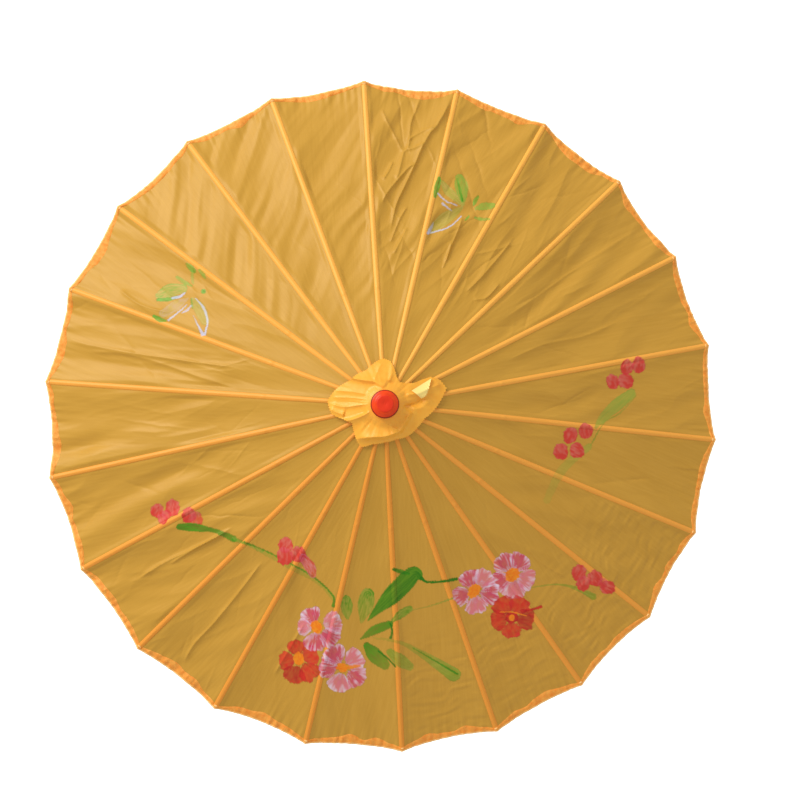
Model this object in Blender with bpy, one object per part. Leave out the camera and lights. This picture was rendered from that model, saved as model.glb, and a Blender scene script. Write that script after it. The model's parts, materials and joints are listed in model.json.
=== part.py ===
"""Folding parasol: a cloth canopy on 22 bamboo ribs, opened by a runner that slides on a wooden shaft.

Frame: metres, +Z up along the shaft, origin at the middle of the handle's flat lower end. Rib 1 lies over +X.
The parasol stands open. A rib turns about its pin in the top notch, and a stretcher turns about its pin in the rib.
A stretcher is as long as the stretch of rib above its pin, and the notch and runner carry their pins on circles of
one size, so notch pin, rib pin and runner pin make a triangle with two equal sides at every stage of the fold.
"""

import math

import bmesh
import bpy
from mathutils import Matrix

# Driving dimensions
RIB_COUNT = 22
CANOPY_RADIUS = 0.410  # shaft axis to the cloth's corner at a rib tip
OPEN_SLOPE = math.radians(17)  # a rib's fall below the horizontal, open
HUB_PIN_RADIUS = 0.012  # circle of the pins in the notch and in the runner
RIB_PIN_SPAN = 0.134  # notch pin to stretcher pin, along a rib
NOTCH_Z = 0.500  # height of the notch's pins
SHAFT_RADIUS = 0.006
FIT_GAP = 0.0003  # between pieces that touch or are glued

# What follows from them
PITCH = 2 * math.pi / RIB_COUNT
RUNNER_Z = NOTCH_Z - 2 * RIB_PIN_SPAN * math.sin(OPEN_SLOPE)
GLUED_BORE = SHAFT_RADIUS + FIT_GAP
ROUND_STEPS = 24
FALL = math.tan(OPEN_SLOPE)

# Hubs: a turned body with one saw kerf for each rib and a groove for the tie wire
HUB_RADIUS = 0.015
KERF_FLOOR = 0.0086
KERF_WIDTH = 0.0020
GROOVE_FLOOR = 0.0112
GROOVE_HALF = 0.0009
HUB_BELOW_PIN = 0.0065
NOTCH_KERF_TOP = 0.0036
NOTCH_TOP = 0.0085
NOTCH_PEG_ABOVE_PIN = 0.0060
RUNNER_TOP = 0.0055
RUNNER_BORE = 0.0065
SLEEVE_RADIUS = 0.0078
SLEEVE_BEAD_RADIUS = 0.0083
SLEEVE_BEAD = 0.003
SLEEVE_LENGTH = 0.034
WIRE_RADIUS = 0.00045
WIRE_HOLE_RADIUS = 0.0008
PEG_RADIUS = 0.0009
PEG_HOLE_RADIUS = PEG_RADIUS + FIT_GAP

# Ribs and stretchers
BLADE_WIDTH = 0.0015  # the thinned ends that turn in kerfs and slots
RIB_WIDTH = 0.0050
RIB_TOP = 0.0030  # above the line through the pins
RIB_BELOW = 0.0018
RIB_TIP_BELOW = 0.0002
RIB_BLADE_END = 0.010
RIB_FULL_WIDTH_FROM = 0.124
RIB_LENGTH = (CANOPY_RADIUS - 0.004 - HUB_PIN_RADIUS) / math.cos(OPEN_SLOPE)
RIB_HEAD_RADIUS = 0.0024
CROWN_SHARE = 0.3  # height of a rib's rounded top, as a share of its width
SLOT_WIDTH = 0.0020
SLOT_INWARD = 0.009
SLOT_OUTWARD = 0.028
SLOT_ROOF = 0.0020
PIN_HOLE_RADIUS = 0.0006
STRETCHER_WIDTH = 0.0030
STRETCHER_HALF_DEPTH = 0.0020
STRETCHER_END_RADIUS = 0.0016
STRETCHER_HEAD_BLADE = 0.030
STRETCHER_FOOT_BLADE = 0.020
BLADE_FLARE = 0.006

# Cloth
CLOTH_THICK = 0.0010
CANOPY_GAP = 0.0004
CANOPY_INNER = 0.017
RIM_SCALLOP = 0.012  # how far the rim sags in between ribs, as a share of the radius
COVER_CLAMPED = 0.0158
COVER_SHOULDER = 0.026
COVER_RADIUS = 0.060

# Spring catch, stop peg, finial and handle
CATCH_TOP = RUNNER_Z - SLEEVE_LENGTH - FIT_GAP
CATCH_PIVOT_Z = CATCH_TOP - 0.043
CATCH_WIDTH = 0.0018
CATCH_SLOT_WIDTH = 0.0024
CATCH_SLOT_DEPTH = 0.0030  # past the shaft's axis
CATCH_SLOT_BELOW = 0.006
CATCH_SLOT_ABOVE = 0.0015
CATCH_NOSE = 0.0084  # how far the nose stands out from the shaft's axis, under the sleeve
CATCH_OUTER = 0.0052
CATCH_INNER = 0.0030
CATCH_HEEL = 0.0020
CATCH_RAMP = 0.016
FINIAL_Z = NOTCH_Z + NOTCH_TOP + CLOTH_THICK + 2 * FIT_GAP
FINIAL_RADIUS = 0.016
FINIAL_HEIGHT = 0.0165
FINIAL_DISC_RADIUS = 0.0095
FINIAL_NUB_RADIUS = 0.0016
FINIAL_FOOT = 0.0040  # height of the rounded foot
FINIAL_SHOULDER = 0.0085  # height at which the side starts to turn in
FINIAL_ROUNDING = 0.0020
SHAFT_TOP = FINIAL_Z + 0.009
SHAFT_BOTTOM = 0.0033
END_CAP_TOP = 0.012
END_CAP_RADIUS = 0.0104
END_CAP_ROUNDING = 0.0026
GRIP_TOP = 0.110
GRIP_RADIUS = 0.0092
GRIP_RING_DEPTH = 0.0008
GRIP_RING_HALF = 0.0011
GRIP_RING_APART = 0.005
GRIP_RING_PAIRS = 3


def clear_scene():
    for obj in list(bpy.data.objects):
        bpy.data.objects.remove(obj)


def material(name, colour, roughness, metallic=0.0):
    mat = bpy.data.materials.new(name)
    mat.use_nodes = True
    bsdf = mat.node_tree.nodes["Principled BSDF"]
    bsdf.inputs["Base Color"].default_value = (*colour, 1)
    bsdf.inputs["Roughness"].default_value = roughness
    bsdf.inputs["Metallic"].default_value = metallic
    return mat


def mesh_from(bm, name):
    bmesh.ops.remove_doubles(bm, verts=bm.verts, dist=1e-6)
    bmesh.ops.recalc_face_normals(bm, faces=bm.faces)
    mesh = bpy.data.meshes.new(name)
    bm.to_mesh(mesh)
    bm.free()
    mesh.shade_smooth()
    mesh.set_sharp_from_angle(angle=math.radians(35))
    return mesh


def place(name, mesh, mat=None, parent=None, location=(0, 0, 0), rotation=(0, 0, 0)):
    obj = bpy.data.objects.new(name, mesh)
    bpy.context.scene.collection.objects.link(obj)
    if mat:
        mesh.materials.clear()
        mesh.materials.append(mat)
    obj.parent = parent
    obj.location = location
    obj.rotation_euler = rotation
    return obj


def turned_mesh(outline, name, closed=True, steps=2 * RIB_COUNT):
    """Spins an outline of (radius, height) points about Z. An open outline starts and ends on the axis."""
    bm = bmesh.new()
    verts = [bm.verts.new((r, 0, z)) for r, z in outline]
    ends = verts[1:] + verts[:1] if closed else verts[1:]
    edges = [bm.edges.new(pair) for pair in zip(verts, ends)]
    bmesh.ops.spin(
        bm, geom=verts + edges, cent=(0, 0, 0), axis=(0, 0, 1), angle=2 * math.pi, steps=steps, use_merge=True
    )
    return mesh_from(bm, name)


def lofted_mesh(sections, name):
    """Bridges a row of rings, each a list of (x, y, z) points, and fills the first and last."""
    bm = bmesh.new()
    rings = [[bm.verts.new(p) for p in ring] for ring in sections]
    count = len(rings[0])
    for near, far in zip(rings, rings[1:]):
        for i in range(count):
            j = (i + 1) % count
            bm.faces.new((near[i], near[j], far[j], far[i]))
    bm.faces.new(rings[0])
    bm.faces.new(rings[-1])
    return mesh_from(bm, name)


def box_into(bm, low, high, turn=0.0):
    """A box given by two corners, turned about Z."""
    made = bmesh.ops.create_cube(bm, size=1)["verts"]
    size = [h - l for l, h in zip(low, high)]
    middle = [(h + l) / 2 for l, h in zip(low, high)]
    bmesh.ops.scale(bm, verts=made, vec=size)
    bmesh.ops.translate(bm, verts=made, vec=middle)
    bmesh.ops.rotate(bm, verts=made, cent=(0, 0, 0), matrix=Matrix.Rotation(turn, 3, "Z"))


def rod_into(bm, radius, length, axis, centre, sides=8):
    """A round rod along X or Y."""
    made = bmesh.ops.create_cone(
        bm, cap_ends=True, segments=sides, radius1=radius, radius2=radius, depth=length
    )["verts"]
    across = {"X": "Y", "Y": "X"}[axis]
    bmesh.ops.rotate(bm, verts=made, cent=(0, 0, 0), matrix=Matrix.Rotation(math.pi / 2, 3, across))
    bmesh.ops.translate(bm, verts=made, vec=centre)


def cut_mesh(mesh, cutter_bm, name):
    """The mesh with the cutter's volume taken away by an EXACT Boolean."""
    body = place(name + "_body", mesh)
    cutter = place(name + "_cutter", mesh_from(cutter_bm, name + "_cutter"))
    cut = body.modifiers.new("cut", "BOOLEAN")
    cut.operation = "DIFFERENCE"
    cut.solver = "EXACT"
    cut.object = cutter
    graph = bpy.context.evaluated_depsgraph_get()
    result = bpy.data.meshes.new_from_object(body.evaluated_get(graph))
    result.name = name
    bpy.data.objects.remove(body)
    bpy.data.objects.remove(cutter)
    result.shade_smooth()
    result.set_sharp_from_angle(angle=math.radians(35))
    return result


def kerfs(bottom, top):
    """One radial box for each rib, to be cut from a hub."""
    bm = bmesh.new()
    for i in range(RIB_COUNT):
        box_into(
            bm,
            (KERF_FLOOR, -KERF_WIDTH / 2, bottom),
            (HUB_RADIUS + 0.003, KERF_WIDTH / 2, top),
            turn=i * PITCH,
        )
    return bm


def groove(pin_z):
    """The tie wire's groove on the way up a hub's outer side."""
    return [
        (HUB_RADIUS, pin_z - GROOVE_HALF),
        (GROOVE_FLOOR, pin_z - GROOVE_HALF),
        (GROOVE_FLOOR, pin_z + GROOVE_HALF),
        (HUB_RADIUS, pin_z + GROOVE_HALF),
    ]


def shaft_mesh():
    chamfer = 0.001
    body = turned_mesh(
        [
            (0, SHAFT_BOTTOM),
            (SHAFT_RADIUS - chamfer, SHAFT_BOTTOM),
            (SHAFT_RADIUS, SHAFT_BOTTOM + chamfer),
            (SHAFT_RADIUS, SHAFT_TOP - chamfer),
            (SHAFT_RADIUS - chamfer, SHAFT_TOP),
            (0, SHAFT_TOP),
        ],
        "shaft",
        closed=False,
        steps=ROUND_STEPS,
    )
    slot = bmesh.new()
    box_into(
        slot,
        (-CATCH_SLOT_WIDTH / 2, -SHAFT_RADIUS - 0.002, CATCH_PIVOT_Z - CATCH_SLOT_BELOW),
        (CATCH_SLOT_WIDTH / 2, CATCH_SLOT_DEPTH, CATCH_TOP + CATCH_SLOT_ABOVE),
    )
    slotted = cut_mesh(body, slot, "shaft")
    holes = bmesh.new()
    for height in (NOTCH_Z + NOTCH_PEG_ABOVE_PIN, stop_peg_height(), CATCH_PIVOT_Z):
        rod_into(holes, PEG_HOLE_RADIUS, 0.020, "X", (0, 0, height))
    return cut_mesh(slotted, holes, "shaft")


def stop_peg_height():
    return RUNNER_Z + RUNNER_TOP + FIT_GAP + PEG_RADIUS


def top_notch_mesh():
    low, high = NOTCH_Z - HUB_BELOW_PIN, NOTCH_Z + NOTCH_TOP
    outline = [(GLUED_BORE, low), (HUB_RADIUS, low), *groove(NOTCH_Z), (HUB_RADIUS, high), (GLUED_BORE, high)]
    bm = kerfs(low - 0.002, NOTCH_Z + NOTCH_KERF_TOP)
    body = cut_mesh(turned_mesh(outline, "top_notch"), bm, "top_notch")
    hole = bmesh.new()
    rod_into(hole, PEG_HOLE_RADIUS, 0.040, "X", (0, 0, NOTCH_Z + NOTCH_PEG_ABOVE_PIN))
    return cut_mesh(body, hole, "top_notch")


def runner_mesh():
    low, high = RUNNER_Z - HUB_BELOW_PIN, RUNNER_Z + RUNNER_TOP
    foot = RUNNER_Z - SLEEVE_LENGTH
    outline = [
        (RUNNER_BORE, foot),
        (SLEEVE_BEAD_RADIUS, foot),
        (SLEEVE_BEAD_RADIUS, foot + SLEEVE_BEAD),
        (SLEEVE_RADIUS, foot + SLEEVE_BEAD + 0.001),
        (SLEEVE_RADIUS, low),
        (HUB_RADIUS, low),
        *groove(RUNNER_Z),
        (HUB_RADIUS, high),
        (RUNNER_BORE, high),
    ]
    return cut_mesh(turned_mesh(outline, "runner"), kerfs(low - 0.002, high + 0.002), "runner")


def tie_wire_mesh():
    sides = 6
    outline = [
        (
            HUB_PIN_RADIUS + WIRE_RADIUS * math.cos(2 * math.pi * k / sides),
            NOTCH_Z + WIRE_RADIUS * math.sin(2 * math.pi * k / sides),
        )
        for k in range(sides)
    ]
    return turned_mesh(outline, "notch_tie_wire")


def finial_mesh():
    base, top, disc, nub = FINIAL_Z, FINIAL_Z + FINIAL_HEIGHT, FINIAL_DISC_RADIUS, FINIAL_NUB_RADIUS
    rounding = FINIAL_ROUNDING
    outline = [
        (0, SHAFT_TOP + FIT_GAP),
        (GLUED_BORE, SHAFT_TOP + FIT_GAP),
        (GLUED_BORE, base),
        (FINIAL_RADIUS - rounding, base),
        (FINIAL_RADIUS - 0.2 * rounding, base + 0.75 * rounding),
        (FINIAL_RADIUS, base + FINIAL_FOOT),
        (FINIAL_RADIUS, base + FINIAL_SHOULDER),
        (FINIAL_RADIUS - 0.6 * rounding, base + FINIAL_SHOULDER + rounding),
        (disc + 0.5 * nub, top - 1.1 * rounding),
        (disc, top - 0.6 * rounding),
        (disc - 0.75 * nub, top - 0.5 * nub),
        (nub, top - 0.5 * nub),
        (0.7 * nub, top - 0.1 * nub),
        (0, top),
    ]
    return turned_mesh(outline, "finial_cap", closed=False, steps=ROUND_STEPS)


def end_cap_mesh():
    radius, rounding = END_CAP_RADIUS, END_CAP_ROUNDING
    outline = [
        (0, 0),
        (radius - rounding, 0),
        (radius - 0.25 * rounding, 0.6 * rounding),
        (radius, 1.5 * rounding),
        (radius, END_CAP_TOP - 1.2 * rounding),
        (radius - 0.3 * rounding, END_CAP_TOP),
        (GLUED_BORE, END_CAP_TOP),
        (GLUED_BORE, SHAFT_BOTTOM - FIT_GAP),
        (0, SHAFT_BOTTOM - FIT_GAP),
    ]
    return turned_mesh(outline, "handle_end_cap", closed=False, steps=ROUND_STEPS)


def grip_mesh():
    """A turned grip with three pairs of shallow rings."""
    low = END_CAP_TOP + FIT_GAP
    outline = [(GLUED_BORE, low), (GRIP_RADIUS - 0.001, low), (GRIP_RADIUS, low + 0.0015)]
    for pair in range(GRIP_RING_PAIRS):
        middle = low + (GRIP_TOP - low) * (2 * pair + 1) / (2 * GRIP_RING_PAIRS)
        for centre in (middle - GRIP_RING_APART / 2, middle + GRIP_RING_APART / 2):
            outline += [
                (GRIP_RADIUS, centre - GRIP_RING_HALF),
                (GRIP_RADIUS - GRIP_RING_DEPTH, centre),
                (GRIP_RADIUS, centre + GRIP_RING_HALF),
            ]
    outline += [(GRIP_RADIUS, GRIP_TOP - 0.006), (GRIP_RADIUS - 0.0018, GRIP_TOP), (GLUED_BORE, GRIP_TOP)]
    return turned_mesh(outline, "handle_grip", steps=ROUND_STEPS)


def peg_mesh(name, half_length, height):
    bm = bmesh.new()
    rod_into(bm, PEG_RADIUS, 2 * half_length, "X", (0, 0, height))
    return mesh_from(bm, name)


def catch_mesh():
    """A flat lever in the shaft's slot. Its nose stands out under the runner and its lower side is a ramp."""
    top = CATCH_TOP - CATCH_PIVOT_Z
    heel, outer, inner, nose = CATCH_HEEL, CATCH_OUTER, CATCH_INNER, CATCH_NOSE
    side = [
        (heel, -heel),
        (-inner, -heel),
        (-outer, 3 * heel),
        (-outer, top - CATCH_RAMP),
        (-nose, top - 0.0035),
        (-nose, top),
        (-inner, top),
        (-inner, top - CATCH_RAMP + heel),
        (heel, 3 * heel),
    ]
    bm = bmesh.new()
    face = bm.faces.new([bm.verts.new((-CATCH_WIDTH / 2, y, z)) for y, z in side])
    made = bmesh.ops.extrude_face_region(bm, geom=[face])["geom"]
    moved = [v for v in made if isinstance(v, bmesh.types.BMVert)]
    bmesh.ops.translate(bm, verts=moved, vec=(CATCH_WIDTH, 0, 0))
    hole = bmesh.new()
    rod_into(hole, PEG_HOLE_RADIUS, 0.010, "X", (0, 0, 0))
    return cut_mesh(mesh_from(bm, "spring_catch"), hole, "spring_catch")


def crowned_section(x, width, bottom, top):
    crown = CROWN_SHARE * width
    half = width / 2
    return [
        (x, -half, bottom),
        (x, half, bottom),
        (x, half, top - crown),
        (x, 0, top),
        (x, -half, top - crown),
    ]


def rib_mesh():
    """A rib along +X from its notch pin. Its head is a thin blade, and below it a slot takes the stretcher."""
    head = RIB_HEAD_RADIUS
    sections = []
    for angle in (155, 125, 90):
        x, half = head * math.cos(math.radians(angle)), head * math.sin(math.radians(angle))
        sections.append(crowned_section(x, BLADE_WIDTH, -half, half))
    sections += [
        crowned_section(RIB_BLADE_END, BLADE_WIDTH, -RIB_BELOW, RIB_TOP),
        crowned_section(RIB_FULL_WIDTH_FROM, RIB_WIDTH, -RIB_BELOW, RIB_TOP),
        crowned_section(RIB_PIN_SPAN + SLOT_OUTWARD + 0.004, RIB_WIDTH, -RIB_BELOW, RIB_TOP),
        crowned_section(RIB_LENGTH, RIB_WIDTH, -RIB_TIP_BELOW, RIB_TOP),
    ]
    bm = bmesh.new()
    box_into(
        bm,
        (RIB_PIN_SPAN - SLOT_INWARD, -SLOT_WIDTH / 2, -0.005),
        (RIB_PIN_SPAN + SLOT_OUTWARD, SLOT_WIDTH / 2, SLOT_ROOF),
    )
    body = cut_mesh(lofted_mesh(sections, "rib"), bm, "rib")
    holes = bmesh.new()
    rod_into(holes, WIRE_HOLE_RADIUS, 0.010, "Y", (0, 0, 0))
    rod_into(holes, PIN_HOLE_RADIUS, 0.010, "Y", (RIB_PIN_SPAN, 0, 0), sides=6)
    rod_into(holes, PIN_HOLE_RADIUS, 0.010, "Y", (RIB_LENGTH - 0.004, 0, 0.0012), sides=6)
    return cut_mesh(body, holes, "rib")


def plain_section(x, width, half_depth):
    half = width / 2
    return [(x, -half, -half_depth), (x, half, -half_depth), (x, half, half_depth), (x, -half, half_depth)]


def stretcher_mesh():
    """A stretcher along +X from its pin in the rib to its pin in the runner, with a thin blade at both ends."""
    end = STRETCHER_END_RADIUS
    length = RIB_PIN_SPAN
    stations = [
        (-0.9 * end, BLADE_WIDTH, 0.4 * end),
        (-0.5 * end, BLADE_WIDTH, 0.87 * end),
        (0, BLADE_WIDTH, end),
        (STRETCHER_HEAD_BLADE, BLADE_WIDTH, end),
        (STRETCHER_HEAD_BLADE + BLADE_FLARE, STRETCHER_WIDTH, STRETCHER_HALF_DEPTH),
        (length - STRETCHER_FOOT_BLADE - BLADE_FLARE, STRETCHER_WIDTH, STRETCHER_HALF_DEPTH),
        (length - STRETCHER_FOOT_BLADE, BLADE_WIDTH, end),
        (length, BLADE_WIDTH, end),
        (length + 0.5 * end, BLADE_WIDTH, 0.87 * end),
        (length + 0.9 * end, BLADE_WIDTH, 0.4 * end),
    ]
    body = lofted_mesh([plain_section(*station) for station in stations], "stretcher")
    holes = bmesh.new()
    rod_into(holes, PIN_HOLE_RADIUS, 0.010, "Y", (0, 0, 0), sides=6)
    rod_into(holes, WIRE_HOLE_RADIUS, 0.010, "Y", (length, 0, 0))
    return cut_mesh(body, holes, "stretcher")


def rib_line_height(radius):
    """Height of the top of the ribs over a point this far from the shaft."""
    return NOTCH_Z - (radius - HUB_PIN_RADIUS) * FALL + RIB_TOP / math.cos(OPEN_SLOPE)


def canopy_point(turn, radius, lift):
    """A point of the cloth: flat between two ribs, with the rim drawn in between the rib tips."""
    share = (turn / PITCH) % 1
    near = math.floor(turn / PITCH + 1e-9) * PITCH
    pull = 1 - RIM_SCALLOP * 4 * share * (1 - share) * (radius / CANOPY_RADIUS)
    reach = radius * pull
    x = reach * ((1 - share) * math.cos(near) + share * math.cos(near + PITCH))
    y = reach * ((1 - share) * math.sin(near) + share * math.sin(near + PITCH))
    return (x, y, rib_line_height(reach) + lift)


def canopy_mesh():
    """The cloth as a thin closed shell, one flat panel between each two ribs, open in the middle for the notch."""
    steps_per_panel = 4
    low, high = CANOPY_GAP, CANOPY_GAP + CLOTH_THICK
    section = [
        (CANOPY_INNER, low),
        (CANOPY_RADIUS, low),
        (CANOPY_RADIUS, high),
        (CANOPY_INNER, high),
    ]
    return sheet_ring(
        "canopy",
        [k * PITCH / steps_per_panel for k in range(RIB_COUNT * steps_per_panel)],
        lambda turn: [canopy_point(turn, radius, lift) for radius, lift in section],
    )


def cover_reach(turn):
    """Outer radius of the top cover, a square of cloth crumpled into uneven lobes."""
    return COVER_RADIUS * (1 + 0.07 * math.cos(4 * turn + 0.4) + 0.06 * math.cos(3 * turn - 1.1))


def top_cover_mesh():
    """The cloth cover over the notch, clamped under the finial, with a lifted shoulder."""
    flat = NOTCH_Z + NOTCH_TOP + FIT_GAP
    over_ribs = CANOPY_GAP + CLOTH_THICK + 0.0004

    def section(turn):
        reach = cover_reach(turn)
        under = [
            (GLUED_BORE, flat),
            (COVER_CLAMPED, flat),
            (COVER_SHOULDER, rib_line_height(COVER_SHOULDER) + over_ribs + 0.003),
            (reach, rib_line_height(reach) + over_ribs),
        ]
        over = [(r, z + CLOTH_THICK) for r, z in reversed(under)]
        return [(r * math.cos(turn), r * math.sin(turn), z) for r, z in under + over]

    return sheet_ring("top_cover", [k * PITCH / 2 for k in range(2 * RIB_COUNT)], section)


def sheet_ring(name, turns, section):
    """A closed ring lofted from one section at each turn about Z."""
    bm = bmesh.new()
    rings = [[bm.verts.new(p) for p in section(turn)] for turn in turns]
    count = len(rings[0])
    for near, far in zip(rings, rings[1:] + rings[:1]):
        for i in range(count):
            j = (i + 1) % count
            bm.faces.new((near[i], near[j], far[j], far[i]))
    return mesh_from(bm, name)


def build_hub_parts(wood, wire, red, cloth):
    place("shaft", shaft_mesh(), wood)
    place("top_notch", top_notch_mesh(), wood)
    place("notch_tie_wire", tie_wire_mesh(), wire)
    place("notch_peg", peg_mesh("notch_peg", 0.0145, NOTCH_Z + NOTCH_PEG_ABOVE_PIN), wood)
    place("finial_cap", finial_mesh(), red)
    place("top_cover", top_cover_mesh(), cloth)
    place("canopy", canopy_mesh(), cloth)


def build_slider_parts(wood, wire, bamboo):
    place("runner", runner_mesh(), wood)
    place("stop_peg", peg_mesh("stop_peg", 0.0076, stop_peg_height()), bamboo)
    place("spring_catch", catch_mesh(), bamboo, location=(0, 0, CATCH_PIVOT_Z))
    place("catch_pin", peg_mesh("catch_pin", 0.0056, CATCH_PIVOT_Z), wire)


def build_handle_parts(lacquer, red):
    place("handle_grip", grip_mesh(), lacquer)
    place("handle_end_cap", end_cap_mesh(), red)


def build_ribs(bamboo):
    rib, stretcher = rib_mesh(), stretcher_mesh()
    rib.materials.append(bamboo)
    stretcher.materials.append(bamboo)
    for i in range(RIB_COUNT):
        turn = i * PITCH
        pin = (HUB_PIN_RADIUS * math.cos(turn), HUB_PIN_RADIUS * math.sin(turn), NOTCH_Z)
        arm = place(f"rib_{i + 1:02d}", rib, location=pin, rotation=(0, OPEN_SLOPE, turn))
        place(
            f"stretcher_{i + 1:02d}",
            stretcher,
            parent=arm,
            location=(RIB_PIN_SPAN, 0, 0),
            rotation=(0, math.pi - 2 * OPEN_SLOPE, 0),
        )


def build():
    clear_scene()
    wood = material("turned_wood", (0.62, 0.42, 0.22), 0.5)
    bamboo = material("bamboo", (0.72, 0.52, 0.27), 0.45)
    cloth = material("gold_cloth", (0.78, 0.42, 0.07), 0.55)
    red = material("red_lacquer", (0.62, 0.04, 0.015), 0.25)
    lacquer = material("dark_lacquer", (0.10, 0.025, 0.012), 0.3)
    wire = material("tie_wire", (0.45, 0.43, 0.40), 0.4, 1.0)
    build_hub_parts(wood, wire, red, cloth)
    build_slider_parts(wood, wire, bamboo)
    build_handle_parts(lacquer, red)
    build_ribs(bamboo)


build()
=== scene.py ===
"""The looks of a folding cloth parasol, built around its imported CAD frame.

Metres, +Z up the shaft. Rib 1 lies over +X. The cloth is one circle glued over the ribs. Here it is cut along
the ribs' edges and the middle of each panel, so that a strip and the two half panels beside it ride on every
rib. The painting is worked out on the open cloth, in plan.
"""

import json
import math

import bpy
import numpy as np
from mathutils import Matrix, Vector


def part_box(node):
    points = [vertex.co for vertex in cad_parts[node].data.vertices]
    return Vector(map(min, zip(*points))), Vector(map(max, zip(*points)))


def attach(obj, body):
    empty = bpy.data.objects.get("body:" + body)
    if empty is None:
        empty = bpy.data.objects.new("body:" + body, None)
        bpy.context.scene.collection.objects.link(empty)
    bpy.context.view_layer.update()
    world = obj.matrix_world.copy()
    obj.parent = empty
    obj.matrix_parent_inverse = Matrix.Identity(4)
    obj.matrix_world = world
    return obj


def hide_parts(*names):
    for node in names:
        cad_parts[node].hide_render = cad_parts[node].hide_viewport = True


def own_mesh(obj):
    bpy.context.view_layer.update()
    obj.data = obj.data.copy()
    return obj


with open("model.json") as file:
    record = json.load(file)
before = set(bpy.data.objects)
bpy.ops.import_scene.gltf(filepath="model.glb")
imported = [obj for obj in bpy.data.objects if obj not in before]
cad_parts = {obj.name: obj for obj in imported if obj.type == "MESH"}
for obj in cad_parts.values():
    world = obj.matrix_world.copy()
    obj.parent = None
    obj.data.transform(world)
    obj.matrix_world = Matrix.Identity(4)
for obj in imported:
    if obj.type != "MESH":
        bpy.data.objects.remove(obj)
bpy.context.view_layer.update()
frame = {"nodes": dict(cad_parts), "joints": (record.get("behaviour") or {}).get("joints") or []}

# ---------------------------------------------------------------- measures read from the frame
JOINTS = {joint["name"]: joint for joint in frame["joints"]}
RIB_COUNT = sum(name.startswith("rib_fold_") for name in JOINTS)
PITCH = 2 * math.pi / RIB_COUNT
NOTCH_PIN = Vector(JOINTS["rib_fold_01"]["pos_m"])
RIB_PIN = Vector(JOINTS["stretcher_fold_01"]["pos_m"])
FALL = (NOTCH_PIN.z - RIB_PIN.z) / (RIB_PIN.x - NOTCH_PIN.x)
SLOPE = math.atan(FALL)
RUNNER_PIN_HEIGHT = 2 * RIB_PIN.z - NOTCH_PIN.z
CLOTH_LOW, CLOTH_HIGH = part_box("canopy")
RIM = CLOTH_HIGH.x
FINIAL_LOW, FINIAL_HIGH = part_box("finial_cap")
_, NOTCH_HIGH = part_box("top_notch")
RIM_CHORD = 2 * math.sin(PITCH / 2)  # chord between two ribs, as a share of the radius
MM = 0.001

# ---------------------------------------------------------------- camera, from above and a little to one side
CAMERA_ABOVE_RIM = 1.6
CAMERA_LENS = 58.97
CAMERA_ROLL = math.radians(-4.87)  # how far the ribs are turned in the view
CAMERA_TILT = (math.radians(-3.66), math.radians(1.78))
CAMERA_SHIFT = (-0.0211, -0.0133)


def make_camera():
    """Looks straight down on the parasol, which leans a little in the view."""
    data = bpy.data.cameras.new("camera")
    data.lens = CAMERA_LENS
    data.sensor_width = 36
    camera = bpy.data.objects.new("camera", data)
    bpy.context.scene.collection.objects.link(camera)
    lean = (
        Matrix.Translation((*CAMERA_SHIFT, 0))
        @ Matrix.Rotation(CAMERA_TILT[0], 4, "X")
        @ Matrix.Rotation(CAMERA_TILT[1], 4, "Y")
        @ Matrix.Rotation(CAMERA_ROLL, 4, "Z")
        @ Matrix.Translation((0, 0, -CLOTH_LOW.z))
    )
    camera.matrix_world = lean.inverted() @ Matrix.Translation((0, 0, CAMERA_ABOVE_RIM))
    bpy.context.scene.camera = camera
    return camera


camera = make_camera()


# ---------------------------------------------------------------- small numeric tools
def smooth(x):
    """0 below 0, 1 above 1, smooth between."""
    x = np.clip(x, 0, 1)
    return x * x * (3 - 2 * x)


def lattice(ix, iy, seed):
    """A repeatable number from -1 to 1 for each whole-numbered point."""
    h = (ix * 374761393 + iy * 668265263 + seed * 144269504) & 0xFFFFFFFF
    h = ((h ^ (h >> 13)) * 1274126177) & 0xFFFFFFFF
    return ((h ^ (h >> 16)) & 0xFFFF) / 32767.5 - 1


def noise(x, y, seed=0):
    """Smooth noise from -1 to 1, one bump or so for each unit."""
    x, y = np.broadcast_arrays(np.asarray(x, float), np.asarray(y, float))
    ix, iy = np.floor(x).astype(np.int64), np.floor(y).astype(np.int64)
    fx, fy = smooth(x - ix), smooth(y - iy)
    low = lattice(ix, iy, seed) * (1 - fx) + lattice(ix + 1, iy, seed) * fx
    high = lattice(ix, iy + 1, seed) * (1 - fx) + lattice(ix + 1, iy + 1, seed) * fx
    return low * (1 - fy) + high * fy


def grid_normals(points, closed=False):
    """A unit normal at each point of a (rows, columns, 3) grid."""
    along = np.gradient(points, axis=0)
    if closed:
        across = (np.roll(points, -1, axis=1) - np.roll(points, 1, axis=1)) / 2
    else:
        across = np.gradient(points, axis=1)
    normals = np.cross(along, across)
    return normals / np.maximum(np.linalg.norm(normals, axis=2, keepdims=True), 1e-12)


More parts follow.
